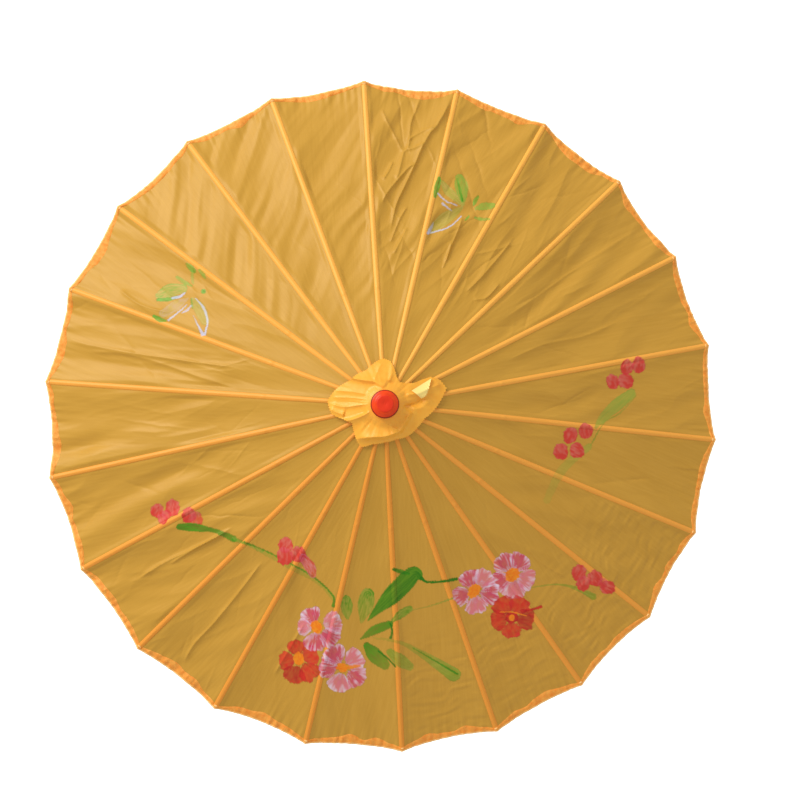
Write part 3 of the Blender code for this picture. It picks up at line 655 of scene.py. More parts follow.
def simulated_sag():
    """[panel, row, column] height of slack cloth above the flat panels, from one cloth simulation."""
    rows, columns = np.linspace(0, 1, SAG_ROWS), np.linspace(0, 1, SAG_COLUMNS)
    share = np.broadcast_to(columns, (SAG_ROWS, SAG_COLUMNS))
    points, held, faces = [], [], []
    for panel in range(RIB_COUNT):
        radius = CANOPY_START + rows[:, None] * (rim_radius(panel, share) - CANOPY_START)
        x, y = panel_plan(panel, radius, share)
        points.append(np.stack([x, y, rib_crest(radius) - PANEL_DROP], axis=2).reshape(-1, 3))
        edge = (share == 0) | (share == 1) | (rows[:, None] == 0)
        held.append(edge.ravel())
        faces += quads(SAG_ROWS, SAG_COLUMNS, panel * SAG_ROWS * SAG_COLUMNS)
    points, held = np.vstack(points), np.concatenate(held)
    mesh = bpy.data.meshes.new("sag")
    mesh.from_pydata(points.tolist(), [], faces)
    cloth = bpy.data.objects.new("sag", mesh)
    bpy.context.scene.collection.objects.link(cloth)
    cloth.vertex_groups.new(name="held").add(np.flatnonzero(held).tolist(), 1.0, "REPLACE")
    settings = cloth.modifiers.new("cloth", "CLOTH").settings
    settings.quality = 5
    settings.mass = 0.05
    settings.tension_stiffness = settings.compression_stiffness = 18
    settings.shear_stiffness = 4
    settings.bending_stiffness = 0.2
    settings.shrink_min = -0.007
    settings.vertex_group_mass = "held"
    scene = bpy.context.scene
    for step in range(1, SAG_FRAMES + 1):
        scene.frame_set(step)
    hung = cloth.evaluated_get(bpy.context.evaluated_depsgraph_get())
    moved = np.empty(len(points) * 3)
    hung.data.vertices.foreach_get("co", moved)
    drop = moved.reshape(-1, 3)[:, 2] - points[:, 2]
    scene.frame_set(1)
    bpy.data.objects.remove(cloth)
    drop = np.clip(drop, -SAG_MOST, SAG_MOST).reshape(RIB_COUNT, SAG_ROWS, SAG_COLUMNS)
    for _ in range(SAG_SMOOTHED):  # evens out the buckles that are only as wide as the simulation's squares
        drop[:, 1:-1] = 0.5 * drop[:, 1:-1] + 0.25 * (drop[:, :-2] + drop[:, 2:])
        drop[:, :, 1:-1] = 0.7 * drop[:, :, 1:-1] + 0.15 * (drop[:, :, :-2] + drop[:, :, 2:])
    return drop


def quads(rows, columns, first=0, closed=False):
    """Faces of a grid of vertices, numbered row by row."""
    made = []
    for i in range(rows - 1):
        for j in range(columns if closed else columns - 1):
            k = (j + 1) % columns
            a, b = first + i * columns + j, first + i * columns + k
            made.append((a, a + columns, b + columns, b))
    return made


SAG = simulated_sag()


def cubic_weights(t):
    """Weights of four neighbours for a smooth curve between the middle two."""
    return (
        0.5 * (-t + 2 * t**2 - t**3),
        0.5 * (2 - 5 * t**2 + 3 * t**3),
        0.5 * (t + 4 * t**2 - 3 * t**3),
        0.5 * (-(t**2) + t**3),
    )


def sag_at(panel, radius, share):
    """The simulated sag at any place of a panel, smoothly read between the simulation's points."""
    row = (radius - CANOPY_START) / (rim_radius(panel, share) - CANOPY_START) * (SAG_ROWS - 1)
    column = np.clip(share, 0, 1) * (SAG_COLUMNS - 1)
    row = np.clip(row, 0, SAG_ROWS - 1)
    i, j = np.floor(row).astype(int), np.floor(column).astype(int)
    total = 0
    for di, wi in enumerate(cubic_weights(row - i)):
        for dj, wj in enumerate(cubic_weights(column - j)):
            rows = np.clip(i + di - 1, 0, SAG_ROWS - 1)
            columns = np.clip(j + dj - 1, 0, SAG_COLUMNS - 1)
            total = total + wi * wj * SAG[panel][rows, columns]
    return total


def panel_points(panel, radius, share):
    """Points of the open cloth in a panel, as (rows, columns, 3)."""
    radius, share = np.broadcast_arrays(radius, share)
    x, y = panel_plan(panel, radius, share)
    z = panel_height(panel, radius, share, sag_at(panel, radius, share))
    return np.stack([x, y, z], axis=2)


# ---------------------------------------------------------------- materials
def new_material(name):
    material = bpy.data.materials.new(name)
    material.use_nodes = True
    nodes, links = material.node_tree.nodes, material.node_tree.links
    return material, nodes, links, nodes["Principled BSDF"]


def node(nodes, kind, **values):
    """A shader node with its inputs or properties set by name."""
    made = nodes.new("ShaderNode" + kind)
    for name, value in values.items():
        title = name.replace("_", " ")
        if title in made.inputs:
            made.inputs[title].default_value = value
        else:
            setattr(made, name, value)
    return made


def ramp(nodes, *stops):
    made = nodes.new("ShaderNodeValToRGB")
    while len(made.color_ramp.elements) < len(stops):
        made.color_ramp.elements.new(0.5)
    for element, (position, colour) in zip(made.color_ramp.elements, stops):
        element.position = position
        element.color = (*colour, 1)
    return made


def stretched(nodes, links, source, scale):
    """Texture coordinates from an output, scaled along each axis."""
    mapping = node(nodes, "Mapping")
    mapping.inputs["Scale"].default_value = scale
    links.new(source, mapping.inputs["Vector"])
    return mapping.outputs["Vector"]


def noise_tone(nodes, links, bsdf, scale, detail, *stops):
    """Lets the base colour waver with a noise in the object's own space, and returns that space."""
    where = node(nodes, "TexCoord")
    grain = node(nodes, "TexNoise", Scale=scale, Detail=detail)
    links.new(where.outputs["Object"], grain.inputs["Vector"])
    tone = ramp(nodes, *stops)
    links.new(grain.outputs["Fac"], tone.inputs["Fac"])
    links.new(tone.outputs["Color"], bsdf.inputs["Base Color"])
    return where.outputs["Object"]


SATIN_TINT = (1.0, 0.82, 0.60, 1)


def cloth_material(
    name, dark, light, through, roughness=0.44, pulls_at=(420, 22, 1), bump=0.08, patchy=0.5, shine=0.42
):
    """Thin satin-weave cloth: threads along and across, faint pulled threads, and the painting on top."""
    material, nodes, links, bsdf = new_material(name)
    lay = node(nodes, "Attribute", attribute_name="lay")
    pulls = node(nodes, "TexNoise", Scale=1.0, Detail=3.0, Roughness=0.6)
    links.new(stretched(nodes, links, lay.outputs["Vector"], pulls_at), pulls.inputs["Vector"])
    patches = node(nodes, "TexNoise", Scale=1.0, Detail=2.0)
    links.new(stretched(nodes, links, lay.outputs["Vector"], (40, 14, 1)), patches.inputs["Vector"])
    share = node(nodes, "Math", operation="MULTIPLY_ADD")
    share.inputs[1].default_value = patchy
    links.new(patches.outputs["Fac"], share.inputs[0])
    links.new(pulls.outputs["Fac"], share.inputs[2])
    tone = ramp(nodes, (0.28 + 0.5 * patchy, dark), (0.72 + 0.5 * patchy, light))
    links.new(share.outputs[0], tone.inputs["Fac"])
    paint = node(nodes, "Attribute", attribute_name="paint")
    mix = node(nodes, "MixRGB")
    links.new(paint.outputs["Alpha"], mix.inputs["Fac"])
    links.new(tone.outputs["Color"], mix.inputs["Color1"])
    links.new(paint.outputs["Color"], mix.inputs["Color2"])
    threads = node(nodes, "TexWave", Scale=1.0, Distortion=0.6, Detail=1.0)
    links.new(stretched(nodes, links, lay.outputs["Vector"], (900, 90, 1)), threads.inputs["Vector"])
    height = node(nodes, "Math", operation="MULTIPLY_ADD")
    height.inputs[1].default_value = 0.25
    links.new(threads.outputs["Fac"], height.inputs[0])
    links.new(pulls.outputs["Fac"], height.inputs[2])
    raised = node(nodes, "Bump", Strength=bump, Distance=0.0004)
    links.new(height.outputs[0], raised.inputs["Height"])
    bsdf.inputs["Roughness"].default_value = roughness
    bsdf.inputs["Specular IOR Level"].default_value = shine
    bsdf.inputs["Specular Tint"].default_value = SATIN_TINT
    links.new(mix.outputs["Color"], bsdf.inputs["Base Color"])
    links.new(raised.outputs["Normal"], bsdf.inputs["Normal"])
    glow = node(nodes, "BsdfTranslucent")
    links.new(mix.outputs["Color"], glow.inputs["Color"])
    both = node(nodes, "MixShader")
    both.inputs["Fac"].default_value = through
    links.new(bsdf.outputs["BSDF"], both.inputs[1])
    links.new(glow.outputs["BSDF"], both.inputs[2])
    links.new(both.outputs["Shader"], nodes["Material Output"].inputs["Surface"])
    return material


def thread_material():
    """The pale sewing thread of the hem and its knots."""
    material, nodes, links, bsdf = new_material("sewing_thread")
    noise_tone(nodes, links, bsdf, 900.0, 2.0, (0.35, (0.98, 0.50, 0.14)), (0.65, (1.0, 0.68, 0.30)))
    bsdf.inputs["Roughness"].default_value = 0.7
    bsdf.inputs["Specular IOR Level"].default_value = 0.2
    return material


def wood_material(name, dark, light, roughness, scale, coat=0.0):
    """Wood or split bamboo, its grain drawn out along the axis that has the smallest scale."""
    material, nodes, links, bsdf = new_material(name)
    where = node(nodes, "TexCoord")
    fibres = node(nodes, "TexNoise", Scale=1.0, Detail=6.0, Roughness=0.65)
    fine = [8 * s for s in scale]
    links.new(stretched(nodes, links, where.outputs["Object"], fine), fibres.inputs["Vector"])
    broad = node(nodes, "TexNoise", Scale=1.0, Detail=2.0)
    links.new(stretched(nodes, links, where.outputs["Object"], scale), broad.inputs["Vector"])
    mix = node(nodes, "Math", operation="MULTIPLY_ADD")
    mix.inputs[1].default_value = 0.6
    links.new(fibres.outputs["Fac"], mix.inputs[0])
    links.new(broad.outputs["Fac"], mix.inputs[2])
    tone = ramp(nodes, (0.50, dark), (1.0, light))
    links.new(mix.outputs[0], tone.inputs["Fac"])
    links.new(tone.outputs["Color"], bsdf.inputs["Base Color"])
    raised = node(nodes, "Bump", Strength=0.35, Distance=0.0002)
    links.new(fibres.outputs["Fac"], raised.inputs["Height"])
    links.new(raised.outputs["Normal"], bsdf.inputs["Normal"])
    bsdf.inputs["Roughness"].default_value = roughness
    bsdf.inputs["Coat Weight"].default_value = coat
    bsdf.inputs["Coat Roughness"].default_value = 0.15
    return material


def lacquer_material(name, deep, bright, roughness, coat):
    """Turned and lacquered wood, a little uneven."""
    material, nodes, links, bsdf = new_material(name)
    space = noise_tone(nodes, links, bsdf, 120.0, 3.0, (0.35, deep), (0.70, bright))
    fine = node(nodes, "TexNoise", Scale=700.0, Detail=2.0)
    links.new(space, fine.inputs["Vector"])
    raised = node(nodes, "Bump", Strength=0.12, Distance=0.0001)
    links.new(fine.outputs["Fac"], raised.inputs["Height"])
    links.new(raised.outputs["Normal"], bsdf.inputs["Normal"])
    bsdf.inputs["Roughness"].default_value = roughness
    bsdf.inputs["Coat Weight"].default_value = coat
    bsdf.inputs["Coat Roughness"].default_value = 0.08
    bsdf.inputs["Specular IOR Level"].default_value = 0.25 + 0.25 * coat
    return material


def wire_material():
    """Dull iron wire."""
    material, nodes, links, bsdf = new_material("tie_wire")
    noise_tone(nodes, links, bsdf, 400.0, 3.0, (0.3, (0.30, 0.27, 0.22)), (0.7, (0.62, 0.58, 0.50)))
    bsdf.inputs["Metallic"].default_value = 1.0
    bsdf.inputs["Roughness"].default_value = 0.38
    return material


PANEL_CLOTH = cloth_material("panel_cloth", (0.566, 0.296, 0.036), (0.618, 0.331, 0.045), 0.12)
BAND_CLOTH = cloth_material("band_cloth", (0.90, 0.395, 0.050), (0.98, 0.460, 0.070), 0.08, patchy=0.1)
HEM_CLOTH = cloth_material(
    "hem_cloth", (0.96, 0.285, 0.030), (1.00, 0.460, 0.080), 0.10,
    pulls_at=(190, 190, 1), bump=0.5, patchy=0.1,
)
COVER_CLOTH = cloth_material(
    "cover_cloth", (1.00, 0.425, 0.034), (1.00, 0.490, 0.050), 0.06, 0.36,
    pulls_at=(120, 120, 1), bump=0.2, patchy=0.2, shine=0.6,
)
SEWING_THREAD = thread_material()
BAMBOO = wood_material("bamboo", (0.42, 0.25, 0.095), (0.70, 0.50, 0.25), 0.42, (90, 90, 90))
SHAFT_WOOD = wood_material("shaft_wood", (0.34, 0.19, 0.075), (0.62, 0.42, 0.20), 0.40, (90, 90, 7), 0.25)
TURNED_WOOD = wood_material("turned_wood", (0.38, 0.22, 0.09), (0.64, 0.44, 0.22), 0.45, (70, 70, 12))
RED_LACQUER = lacquer_material("red_lacquer", (0.76, 0.046, 0.002), (0.86, 0.062, 0.003), 0.36, 0.0)
RED_DISC = lacquer_material("red_lacquer_disc", (0.74, 0.030, 0.005), (0.84, 0.042, 0.008), 0.38, 0.0)
# painted shade: a dark red for the cap's rounded shoulder, standing in for the dark outline it shows in shade
RED_SHADED_EDGE = lacquer_material("red_lacquer_painted_shade", (0.20, 0.007, 0.002), (0.28, 0.011, 0.003), 0.45, 0.0)
DARK_LACQUER = lacquer_material("dark_lacquer", (0.075, 0.018, 0.010), (0.15, 0.040, 0.020), 0.25, 0.8)
TIE_WIRE = wire_material()
TIE_WIRE_THICK = 0.45 * MM


# ---------------------------------------------------------------- building cloth objects
def new_object(name, mesh):
    made = bpy.data.objects.new(name, mesh)
    bpy.context.scene.collection.objects.link(made)
    return made


def upward(normals):
    """The same normals, with those that point down turned round."""
    return normals * np.sign(normals[..., 2:3])


def cloth_grid(points, normals, lay, material, flip=False, paint=None):
    """One part of a cloth object: places, normals, thread coordinates and paint, by row and column."""
    if paint is None:
        paint = np.zeros((*points.shape[:2], 4))
    grid = {"points": points, "normals": normals, "lay": lay, "paint": paint}
    return {**grid, "material": material, "flip": flip}


def cloth_object(name, grids):
    """One object from several cloth grids."""
    points, normals, paint, lay, faces, slots, materials = [], [], [], [], [], [], []
    first = 0
    for grid in grids:
        rows, columns = grid["points"].shape[:2]
        if grid["material"] not in materials:
            materials.append(grid["material"])
        made = quads(rows, columns, first)
        if grid["flip"]:
            made = [face[::-1] for face in made]
        faces += made
        slots += [materials.index(grid["material"])] * len(made)
        points.append(grid["points"].reshape(-1, 3))
        normals.append(grid["normals"].reshape(-1, 3))
        paint.append(grid["paint"].reshape(-1, 4))
        lay.append(grid["lay"].reshape(-1, 3))
        first += rows * columns
    mesh = bpy.data.meshes.new(name)
    mesh.from_pydata(np.vstack(points).tolist(), [], faces)
    for material in materials:
        mesh.materials.append(material)
    mesh.polygons.foreach_set("material_index", slots)
    mesh.polygons.foreach_set("use_smooth", [True] * len(faces))
    colour = mesh.attributes.new("paint", "FLOAT_COLOR", "POINT")
    colour.data.foreach_set("color", np.vstack(paint).astype(np.float32).ravel())
    where = mesh.attributes.new("lay", "FLOAT_VECTOR", "POINT")
    where.data.foreach_set("vector", np.vstack(lay).astype(np.float32).ravel())
    mesh.normals_split_custom_set_from_vertices(np.vstack(normals).tolist())
    return new_object(name, mesh)


def rib_axes(rib):
    """Unit vectors of a rib: outwards in plan, along the rim, and square to the rib's top."""
    turn = rib * PITCH
    out = Vector((math.cos(turn), math.sin(turn), 0))
    side = Vector((-math.sin(turn), math.cos(turn), 0))
    up = out * math.sin(SLOPE) + Vector((0, 0, math.cos(SLOPE)))
    return out, side, up


def half_panel_grid(rib, side, spacing):
    """The panel, the shares along its rim and the grid of the half after a rib (side 1) or before it (-1)."""
    panel = rib if side > 0 else (rib - 1) % RIB_COUNT
    rows = int((RIM - CANOPY_START) / spacing)
    columns = max(8, int(0.5 * RIM_CHORD * RIM / spacing))
    across = np.linspace(0, 1 + 1 / (columns - 1), columns + 1)[None, :]  # one column past the panel's middle
    down = np.linspace(0, 1, rows)[:, None]
    radius = CANOPY_START + down * (rim_radius(panel, np.minimum(0.5 * across, 0.5)) - CANOPY_START)
    edge = band_half(radius) / (RIM_CHORD * radius)
    share = edge + (0.5 - edge) * across
    radius = CANOPY_START + down * (rim_radius(panel, share) - CANOPY_START)
    if side < 0:
        share = 1 - share
    points = panel_points(panel, radius, share)
    normals = upward(grid_normals(points))
    lay = np.stack([share * RIM_CHORD * radius + 0.37 * panel, radius + 0.53 * panel, 0 * radius], axis=2)
    grid = cloth_grid(points[:, :-1], normals[:, :-1], lay[:, :-1], PANEL_CLOTH, flip=side < 0)
    return panel, share[-1, :-1], grid


HEM_PROFILE = (  # share of the hem's width inwards, millimetres outwards, millimetres up
    (1.0, 0.0, -0.10),
    (0.86, 0.1, 0.45),
    (0.66, 0.0, 0.85),
    (0.35, 0.0, 0.90),
    (0.0, -0.9, 0.85),
    (0.0, 0.0, 0.95),
    (0.0, 0.9, 0.35),
    (0.0, 0.4, -0.45),
    (0.4, 0.0, -0.60),
    (0.9, 0.0, -0.55),
)
HEM_EDGE_ROWS = (4, 8)


def hem_grids(panel, share, flip, height):
    """The turned-in hem along a row of shares, as a cloth strip and the paler thread along its edge."""
    chord = RIM_CHORD * RIM
    pull = noise(share * 7 + 5.3 * panel, 0 * share, 12)
    width = (3.6 + 6.8 * np.sin(np.pi * np.clip(share, 0, 1)) ** 0.75 * (0.80 + 0.55 * pull)) * MM
    edge = rim_radius(panel, share)
    points, lay = [], []
    for k, (inward, outward, up) in enumerate(HEM_PROFILE):
        radius = edge - inward * width + outward * MM
        crumple = 0.5 * MM * noise(share * chord / (2.6 * MM), np.full_like(share, k * 0.5), 200 + panel)
        x, y = panel_plan(panel, radius, share)
        z = height(np.minimum(radius, edge), share) + up * MM + crumple * (0.2 < inward < 0.95)
        points.append(np.stack([x, y, z], axis=1))
        lay.append(np.stack([share * chord + 0.37 * panel, radius + 0.53 * panel, 0 * radius], axis=1))
    points, lay = np.stack(points), np.stack(lay)
    normals = grid_normals(points)
    if normals[:1].mean(axis=(0, 1))[2] <= 0:
        normals = -normals
    first, last = HEM_EDGE_ROWS
    made = []
    for rows, material in (
        (slice(0, first + 1), HEM_CLOTH),
        (slice(first, last), SEWING_THREAD),
        (slice(last - 1, None), HEM_CLOTH),
    ):
        made.append(cloth_grid(points[rows], normals[rows], lay[rows], material, flip))
    return made


def paint_over(grid):
    """The painting on a grid's points, seen in plan."""
    return painted(grid["points"][..., 0], grid["points"][..., 1])


def half_panel(rib, side):
    """A half panel with its hem, riding on its rib."""
    _, _, rough = half_panel_grid(rib, side, ROUGH)
    has_paint = paint_over(rough)[..., 3].max() > 0.02
    creased = CREASED[0] < ((rib + 0.5 * side) * PITCH) < CREASED[1]
    panel, share, grid = half_panel_grid(rib, side, FINE if has_paint or creased else COARSE)
    if has_paint:
        grid["paint"] = paint_over(grid)

    def height(radius, share):
        return panel_height(panel, radius, share, sag_at(panel, radius, share))

    name = f"canopy_{rib + 1:02d}_{'left' if side > 0 else 'right'}"
    made = cloth_object(name, [grid, *hem_grids(panel, share, grid["flip"], height)])
    fold_with_rib(made, rib)
    return made


def fold_with_rib(piece, rib):
    """Rides on a rib, with a mesh of its own."""
    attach(piece, f"rib_{rib + 1:02d}")
    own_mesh(piece)


def band_profile(share):
    """Height of the strip over a rib, from its middle at 0 to its edge at 1, above the panels: a low roof."""
    ridge_round, share = math.sqrt(BAND_ROUND), np.minimum(np.abs(share), 1)
    roof = (np.sqrt(share**2 + BAND_ROUND) - ridge_round) / (math.sqrt(1 + BAND_ROUND) - ridge_round)
    fall = (1 - BAND_STEP) * roof**1.15 + BAND_STEP * smooth((share - 0.80) / 0.2)
    return (BAND_CREST + PANEL_DROP) * (1 - fall)


BAND_SHADE_TONE, BAND_SHEEN_TONE = (0.84, 0.29, 0.030), (1.00, 0.485, 0.080)  # the strips' colour: painted shade, deepest at the front, and painted sheen, palest towards the back
BAND_MOST_LIT = math.radians(82)
BAND_PAINTED_LIGHT_SHARE = 0.75


def band(rib):
    """The strip of cloth glued over a rib."""
    rows = int((RIM - CANOPY_START) / FINE)
    radius = np.linspace(CANOPY_START, RIM, rows)[:, None]
    half = np.array([0.08, 0.25, 0.5, 0.78, 0.9, 1])
    across = np.concatenate([-half[::-1], [0], half])[None, :]
    offset = np.abs(across) * band_half(radius)
    out, side, _ = rib_axes(rib)
    outward = radius - offset * math.sin(PITCH / 2)
    sideways = offset * math.cos(PITCH / 2) * np.sign(across)
    x, y = outward * out.x + sideways * side.x, outward * out.y + sideways * side.y
    knot = 0.5 * MM * np.exp(-(((radius - RIB_PIN.x) / (2.2 * MM)) ** 2)) * (1 - across**2)
    wave = 0.12 * MM * noise(radius / 0.011, across * 1.3 + 3 * rib, 300 + rib)
    z = rib_crest(radius) - PANEL_DROP + band_profile(across) + knot + wave * (1 - across**2)
    points = np.stack([x, y, z], axis=2)
    normals = upward(grid_normals(points))
    lay = np.stack([across * offset + rib * 0.61 + 0 * radius, radius + 0 * across, 0 * z], axis=2)
    # Painted light: each strip goes from the painted shade tone at the front to the painted sheen tone at the
    # back, laid over most of the strip under the painting.
    lit = 0.5 + 0.5 * math.cos(rib * PITCH - BAND_MOST_LIT)
    tone = np.array(BAND_SHADE_TONE) * (1 - lit) + np.array(BAND_SHEEN_TONE) * lit
    drawn = painted(x, y)
    cover = drawn[..., 3:]
    total = cover + BAND_PAINTED_LIGHT_SHARE * (1 - cover)
    blend = (drawn[..., :3] * cover + tone * BAND_PAINTED_LIGHT_SHARE * (1 - cover)) / total
    strip = cloth_grid(points, normals, lay, BAND_CLOTH, paint=np.concatenate([blend, total], axis=2))
    share = across[0] * band_half(RIM) / (RIM_CHORD * RIM)

    def height(radius, share):
        over = np.abs(share) * RIM_CHORD * RIM / band_half(RIM)
        return rib_crest(radius) - PANEL_DROP + band_profile(over)

    made = cloth_object(f"canopy_{rib + 1:02d}_band", [strip, *hem_grids_over_rib(rib, share, height)])
    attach(made, f"rib_{rib + 1:02d}")
    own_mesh(made)
    return made


def hem_grids_over_rib(rib, share, height):
    """The hem where it passes over a rib's end."""
    low = hem_grids((rib - 1) % RIB_COUNT, 1 + share[share <= 0], False, lambda r, s: height(r, s - 1))
    high = hem_grids(rib, share[share >= 0], False, height)
    return [*low, *high]


SHARP_FROM = math.radians(40)  # edges of a turned piece that bend by more than this are sharp


def lathe(name, profile, materials, slots, segments):
    """A turned piece from (radius, height) points, from axis to axis, with a material slot for each ring."""
    points, index, faces, face_slots = [], [], [], []
    turns = np.linspace(0, 2 * np.pi, segments, endpoint=False)
    for radius, height in profile:
        if radius == 0:
            index.append([len(points)] * segments)
            points.append((0, 0, height))
        else:
            index.append(list(range(len(points), len(points) + segments)))
            points += [(radius * math.cos(t), radius * math.sin(t), height) for t in turns]
    for low, high, slot in zip(index, index[1:], slots):
        for j in range(segments):
            i = (j + 1) % segments
            faces.append(list(dict.fromkeys((low[j], low[i], high[i], high[j]))))
            face_slots.append(slot)
    mesh = bpy.data.meshes.new(name)
    mesh.from_pydata(points, [], faces)
    for material in materials:
        mesh.materials.append(material)
    mesh.polygons.foreach_set("material_index", face_slots)
    mesh.shade_smooth()
    mesh.set_sharp_from_angle(angle=SHARP_FROM)
    return new_object(name, mesh)


# ---------------------------------------------------------------- the pinked cover over the notch
COVER_START = FINIAL_HIGH.x * 0.45
COVER_SPLIT = 0.0170  # where the skirt starts, just past the finial
COVER_TUCK = 0.0255  # how far the crown reaches under the skirt
COVER_EDGE = (  # angle in degrees and reach in millimetres, round the cover
    (0, 57), (12, 66), (21, 74), (30, 70), (37, 62), (42, 42), (50, 35), (62, 31), (72, 35), (80, 43),
    (87, 51), (97, 54), (108, 50), (122, 45), (137, 47), (149, 48), (164, 57), (180, 65), (194, 61),
    (203, 50), (214, 42), (226, 46), (237, 51), (246, 54), (258, 46), (276, 42), (294, 41), (312, 44),
    (330, 45), (347, 48),
)
COVER_RIDGES = (  # crest in plan millimetres, then its height and its width on either side
    (((-48, 29), (-30, 26), (-16, 25), (-8, 22), (-1, 18)), 3.6, 8.0, 2.4),
    (((-62, -3), (-46, -6), (-30, -3), (-17, -1)), 1.5, 3.6, 2.2),
    (((-62, -9), (-52, -13), (-44, -15)), 2.4, 4.5, 3.0),
    (((-50, -22), (-40, -21), (-31, -18), (-21, -13), (-15, -8)), 3.4, 3.0, 5.0),
    (((-58, 12), (-40, 12), (-20, 10)), 1.0, 3.6, 2.8),
    (((-60, 4), (-40, 5), (-19, 4)), 0.9, 3.2, 2.4),
    (((-4, -18), (5, -22), (12, -25), (18, -27)), 1.4, 2.2, 2.2),
    (((-32, -41), (-11, -38), (3, -36), (13, -32), (20, -28), (25, -19), (28, -12), (32, -4)), 5.6, 9.0, 3.0),
    (((31, -3), (42, 1), (52, 12)), 1.4, 6.0, 6.0),
    (((15, -2), (24, 1), (34, 5), (46, 12)), -2.6, 3.0, 4.0),
    (((22, 14), (36, 16), (50, 24), (62, 30)), 2.2, 5.0, 5.0),
    (((4, 26), (5, 38), (3, 50)), 1.0, 5.0, 5.0),
    (((-14, 27), (-11, 38), (-7, 48)), 0.8, 4.0, 3.0),
    (((-20, -22), (-24, -32), (-28, -46)), 0.6, 5.0, 5.0),
)
COVER_RISE = 1.35 * MM
COVER_COLUMNS = 32  # for each rib
PINK_PITCH = 2.3 * MM
PINK_DEPTH = 1.5 * MM


def cover_reach(turn):
    """Reach of the cover's pinked edge at an angle in radians."""
    angles = np.array([a for a, _ in COVER_EDGE], float)
    reach = np.array([r for _, r in COVER_EDGE], float)
    degrees = np.degrees(turn) % 360
    wide_angles = np.concatenate([angles - 360, angles, angles + 360])
    plain = np.interp(degrees, wide_angles, np.tile(reach, 3)) * MM
    tooth = np.abs((turn * 0.05 / PINK_PITCH) % 1 - 0.5) * 2
    return plain + PINK_DEPTH * (tooth - 0.5)


def cover_height(x, y):
    """Height of the cover: flat under the finial, falling off the notch, then crumpled over the cloth."""
    radius = np.hypot(x, y)
    held = NOTCH_HIGH.z + 0.4 * MM
    resting = rib_crest(radius) + 2.2 * MM
    shoulder = smooth((radius - 0.0145) / 0.0120)
    folds = 0
    for points, rise, left, right in COVER_RIDGES:
        folds = folds + COVER_RISE * ridge(x, y, points, rise, left, right)
    opened = smooth((radius - 0.0155) / 0.010)
    turn = np.arctan2(y, x)
    ruffle = 0.8 * MM * noise(x / 0.018, y / 0.018, 410) + 0.28 * MM * noise(turn * 11, radius / 0.03, 411)
    return held * (1 - shoulder) + resting * shoulder + opened * (folds + ruffle)


def cover_points(turn, radius):
    x, y = radius * np.cos(turn), radius * np.sin(turn)
    return np.stack([x, y, cover_height(x, y)], axis=2)


def cover_rings():
    """Points, normals and coordinates of the crown and of the skirt, in rows outwards and columns round."""
    turns = (np.arange(RIB_COUNT * COVER_COLUMNS) * PITCH / COVER_COLUMNS - PITCH / 2)[None, :]
    crown = COVER_START + np.linspace(0, 1, 14)[:, None] * (COVER_TUCK - COVER_START) + 0 * turns
    reach = np.maximum(cover_reach(turns), COVER_TUCK + 3 * MM)
    skirt = COVER_SPLIT + np.linspace(0, 1, 34)[:, None] * (reach - COVER_SPLIT)
    made = []
    for radius, tucked in ((crown, 0.5 * MM), (skirt, 0)):
        turn = turns + 0 * radius
        points = cover_points(turn, radius)
        normals = upward(grid_normals(points, closed=True))
        points[..., 2] -= tucked * smooth((radius - COVER_SPLIT) / (2 * MM))
        lay = np.stack([radius * np.cos(turn), radius * np.sin(turn), 0 * radius], axis=2)
        made.append((points, normals, lay))
    return made


def make_cover():
    """A crown that stays on the notch, and a skirt in one leaf for each rib."""
    crown_rings, skirt_rings = cover_rings()
    around = RIB_COUNT * COVER_COLUMNS
    crown = cloth_object("top_cover_crown", [cover_grid(crown_rings, np.arange(around + 1) % around)])
    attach(crown, "root")
    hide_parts("top_cover")
    leaves = []
    for rib in range(RIB_COUNT):
        columns = (np.arange(COVER_COLUMNS + 1) + rib * COVER_COLUMNS) % around
        leaf = cloth_object(f"top_cover_skirt_{rib + 1:02d}", [cover_grid(skirt_rings, columns)])
        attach(leaf, f"rib_{rib + 1:02d}")
        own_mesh(leaf)
        leaves.append(leaf)
    return crown, leaves


FLAP_FOLD = ((29, 19), (50.5, 35.5))  # the two ends of the turned-over corner's fold
FLAP_EDGE = ((41, 11), (46, 15.5), (48.5, 24), (50.5, 35))
FLAP_RIB = 2


def make_flap():
    """The corner of the cover that is turned back over itself, coloured pale as a painted sheen where it
    faces the light.
    """
    rows, columns = 14, 40
    t, s = np.linspace(0, 1, rows)[:, None], np.linspace(0, 1, columns)[None, :]
    start, end = np.array(FLAP_FOLD) * MM
    edge = curve_through(FLAP_EDGE, 20) * MM
    place = np.linspace(0, len(edge) - 1, columns)
    far = [np.interp(place, np.arange(len(edge)), edge[:, k]) for k in (0, 1)]
    tooth = 1 + 0.05 * (np.abs((s * 9) % 1 - 0.5) * 4 - 1)
    x = start[0] + s * (end[0] - start[0])
    y = start[1] + s * (end[1] - start[1])
    x, y = x + (far[0] - x) * t * tooth, y + (far[1] - y) * t * tooth
    flutes = 0.35 * MM * np.cos(2 * np.pi * 9 * s) * t
    z = cover_height(x, y) + (0.6 + 3.2 * np.sin(0.5 * np.pi * t)) * MM + flutes
    points = np.stack([x, y, z], axis=2)
    # painted sheen: the whole turned corner is laid over with pale yellow, as light glancing off it
    paint = np.broadcast_to((*FLAP_SHEEN, 0.75), (rows, columns, 4))
    lay = np.stack([x, y, 0 * z], axis=2)
    grid = cloth_grid(points, upward(grid_normals(points)), lay, COVER_CLOTH, paint=paint)
    flap = cloth_object("top_cover_turned_corner", [grid])
    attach(flap, f"rib_{FLAP_RIB + 1:02d}")
    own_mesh(flap)
    return flap


def cover_grid(rings, columns):
    """Some columns of the crown's or the skirt's rings."""
    points, normals, lay = (values[:, columns] for values in rings)
    return cloth_grid(points, normals, lay, COVER_CLOTH)


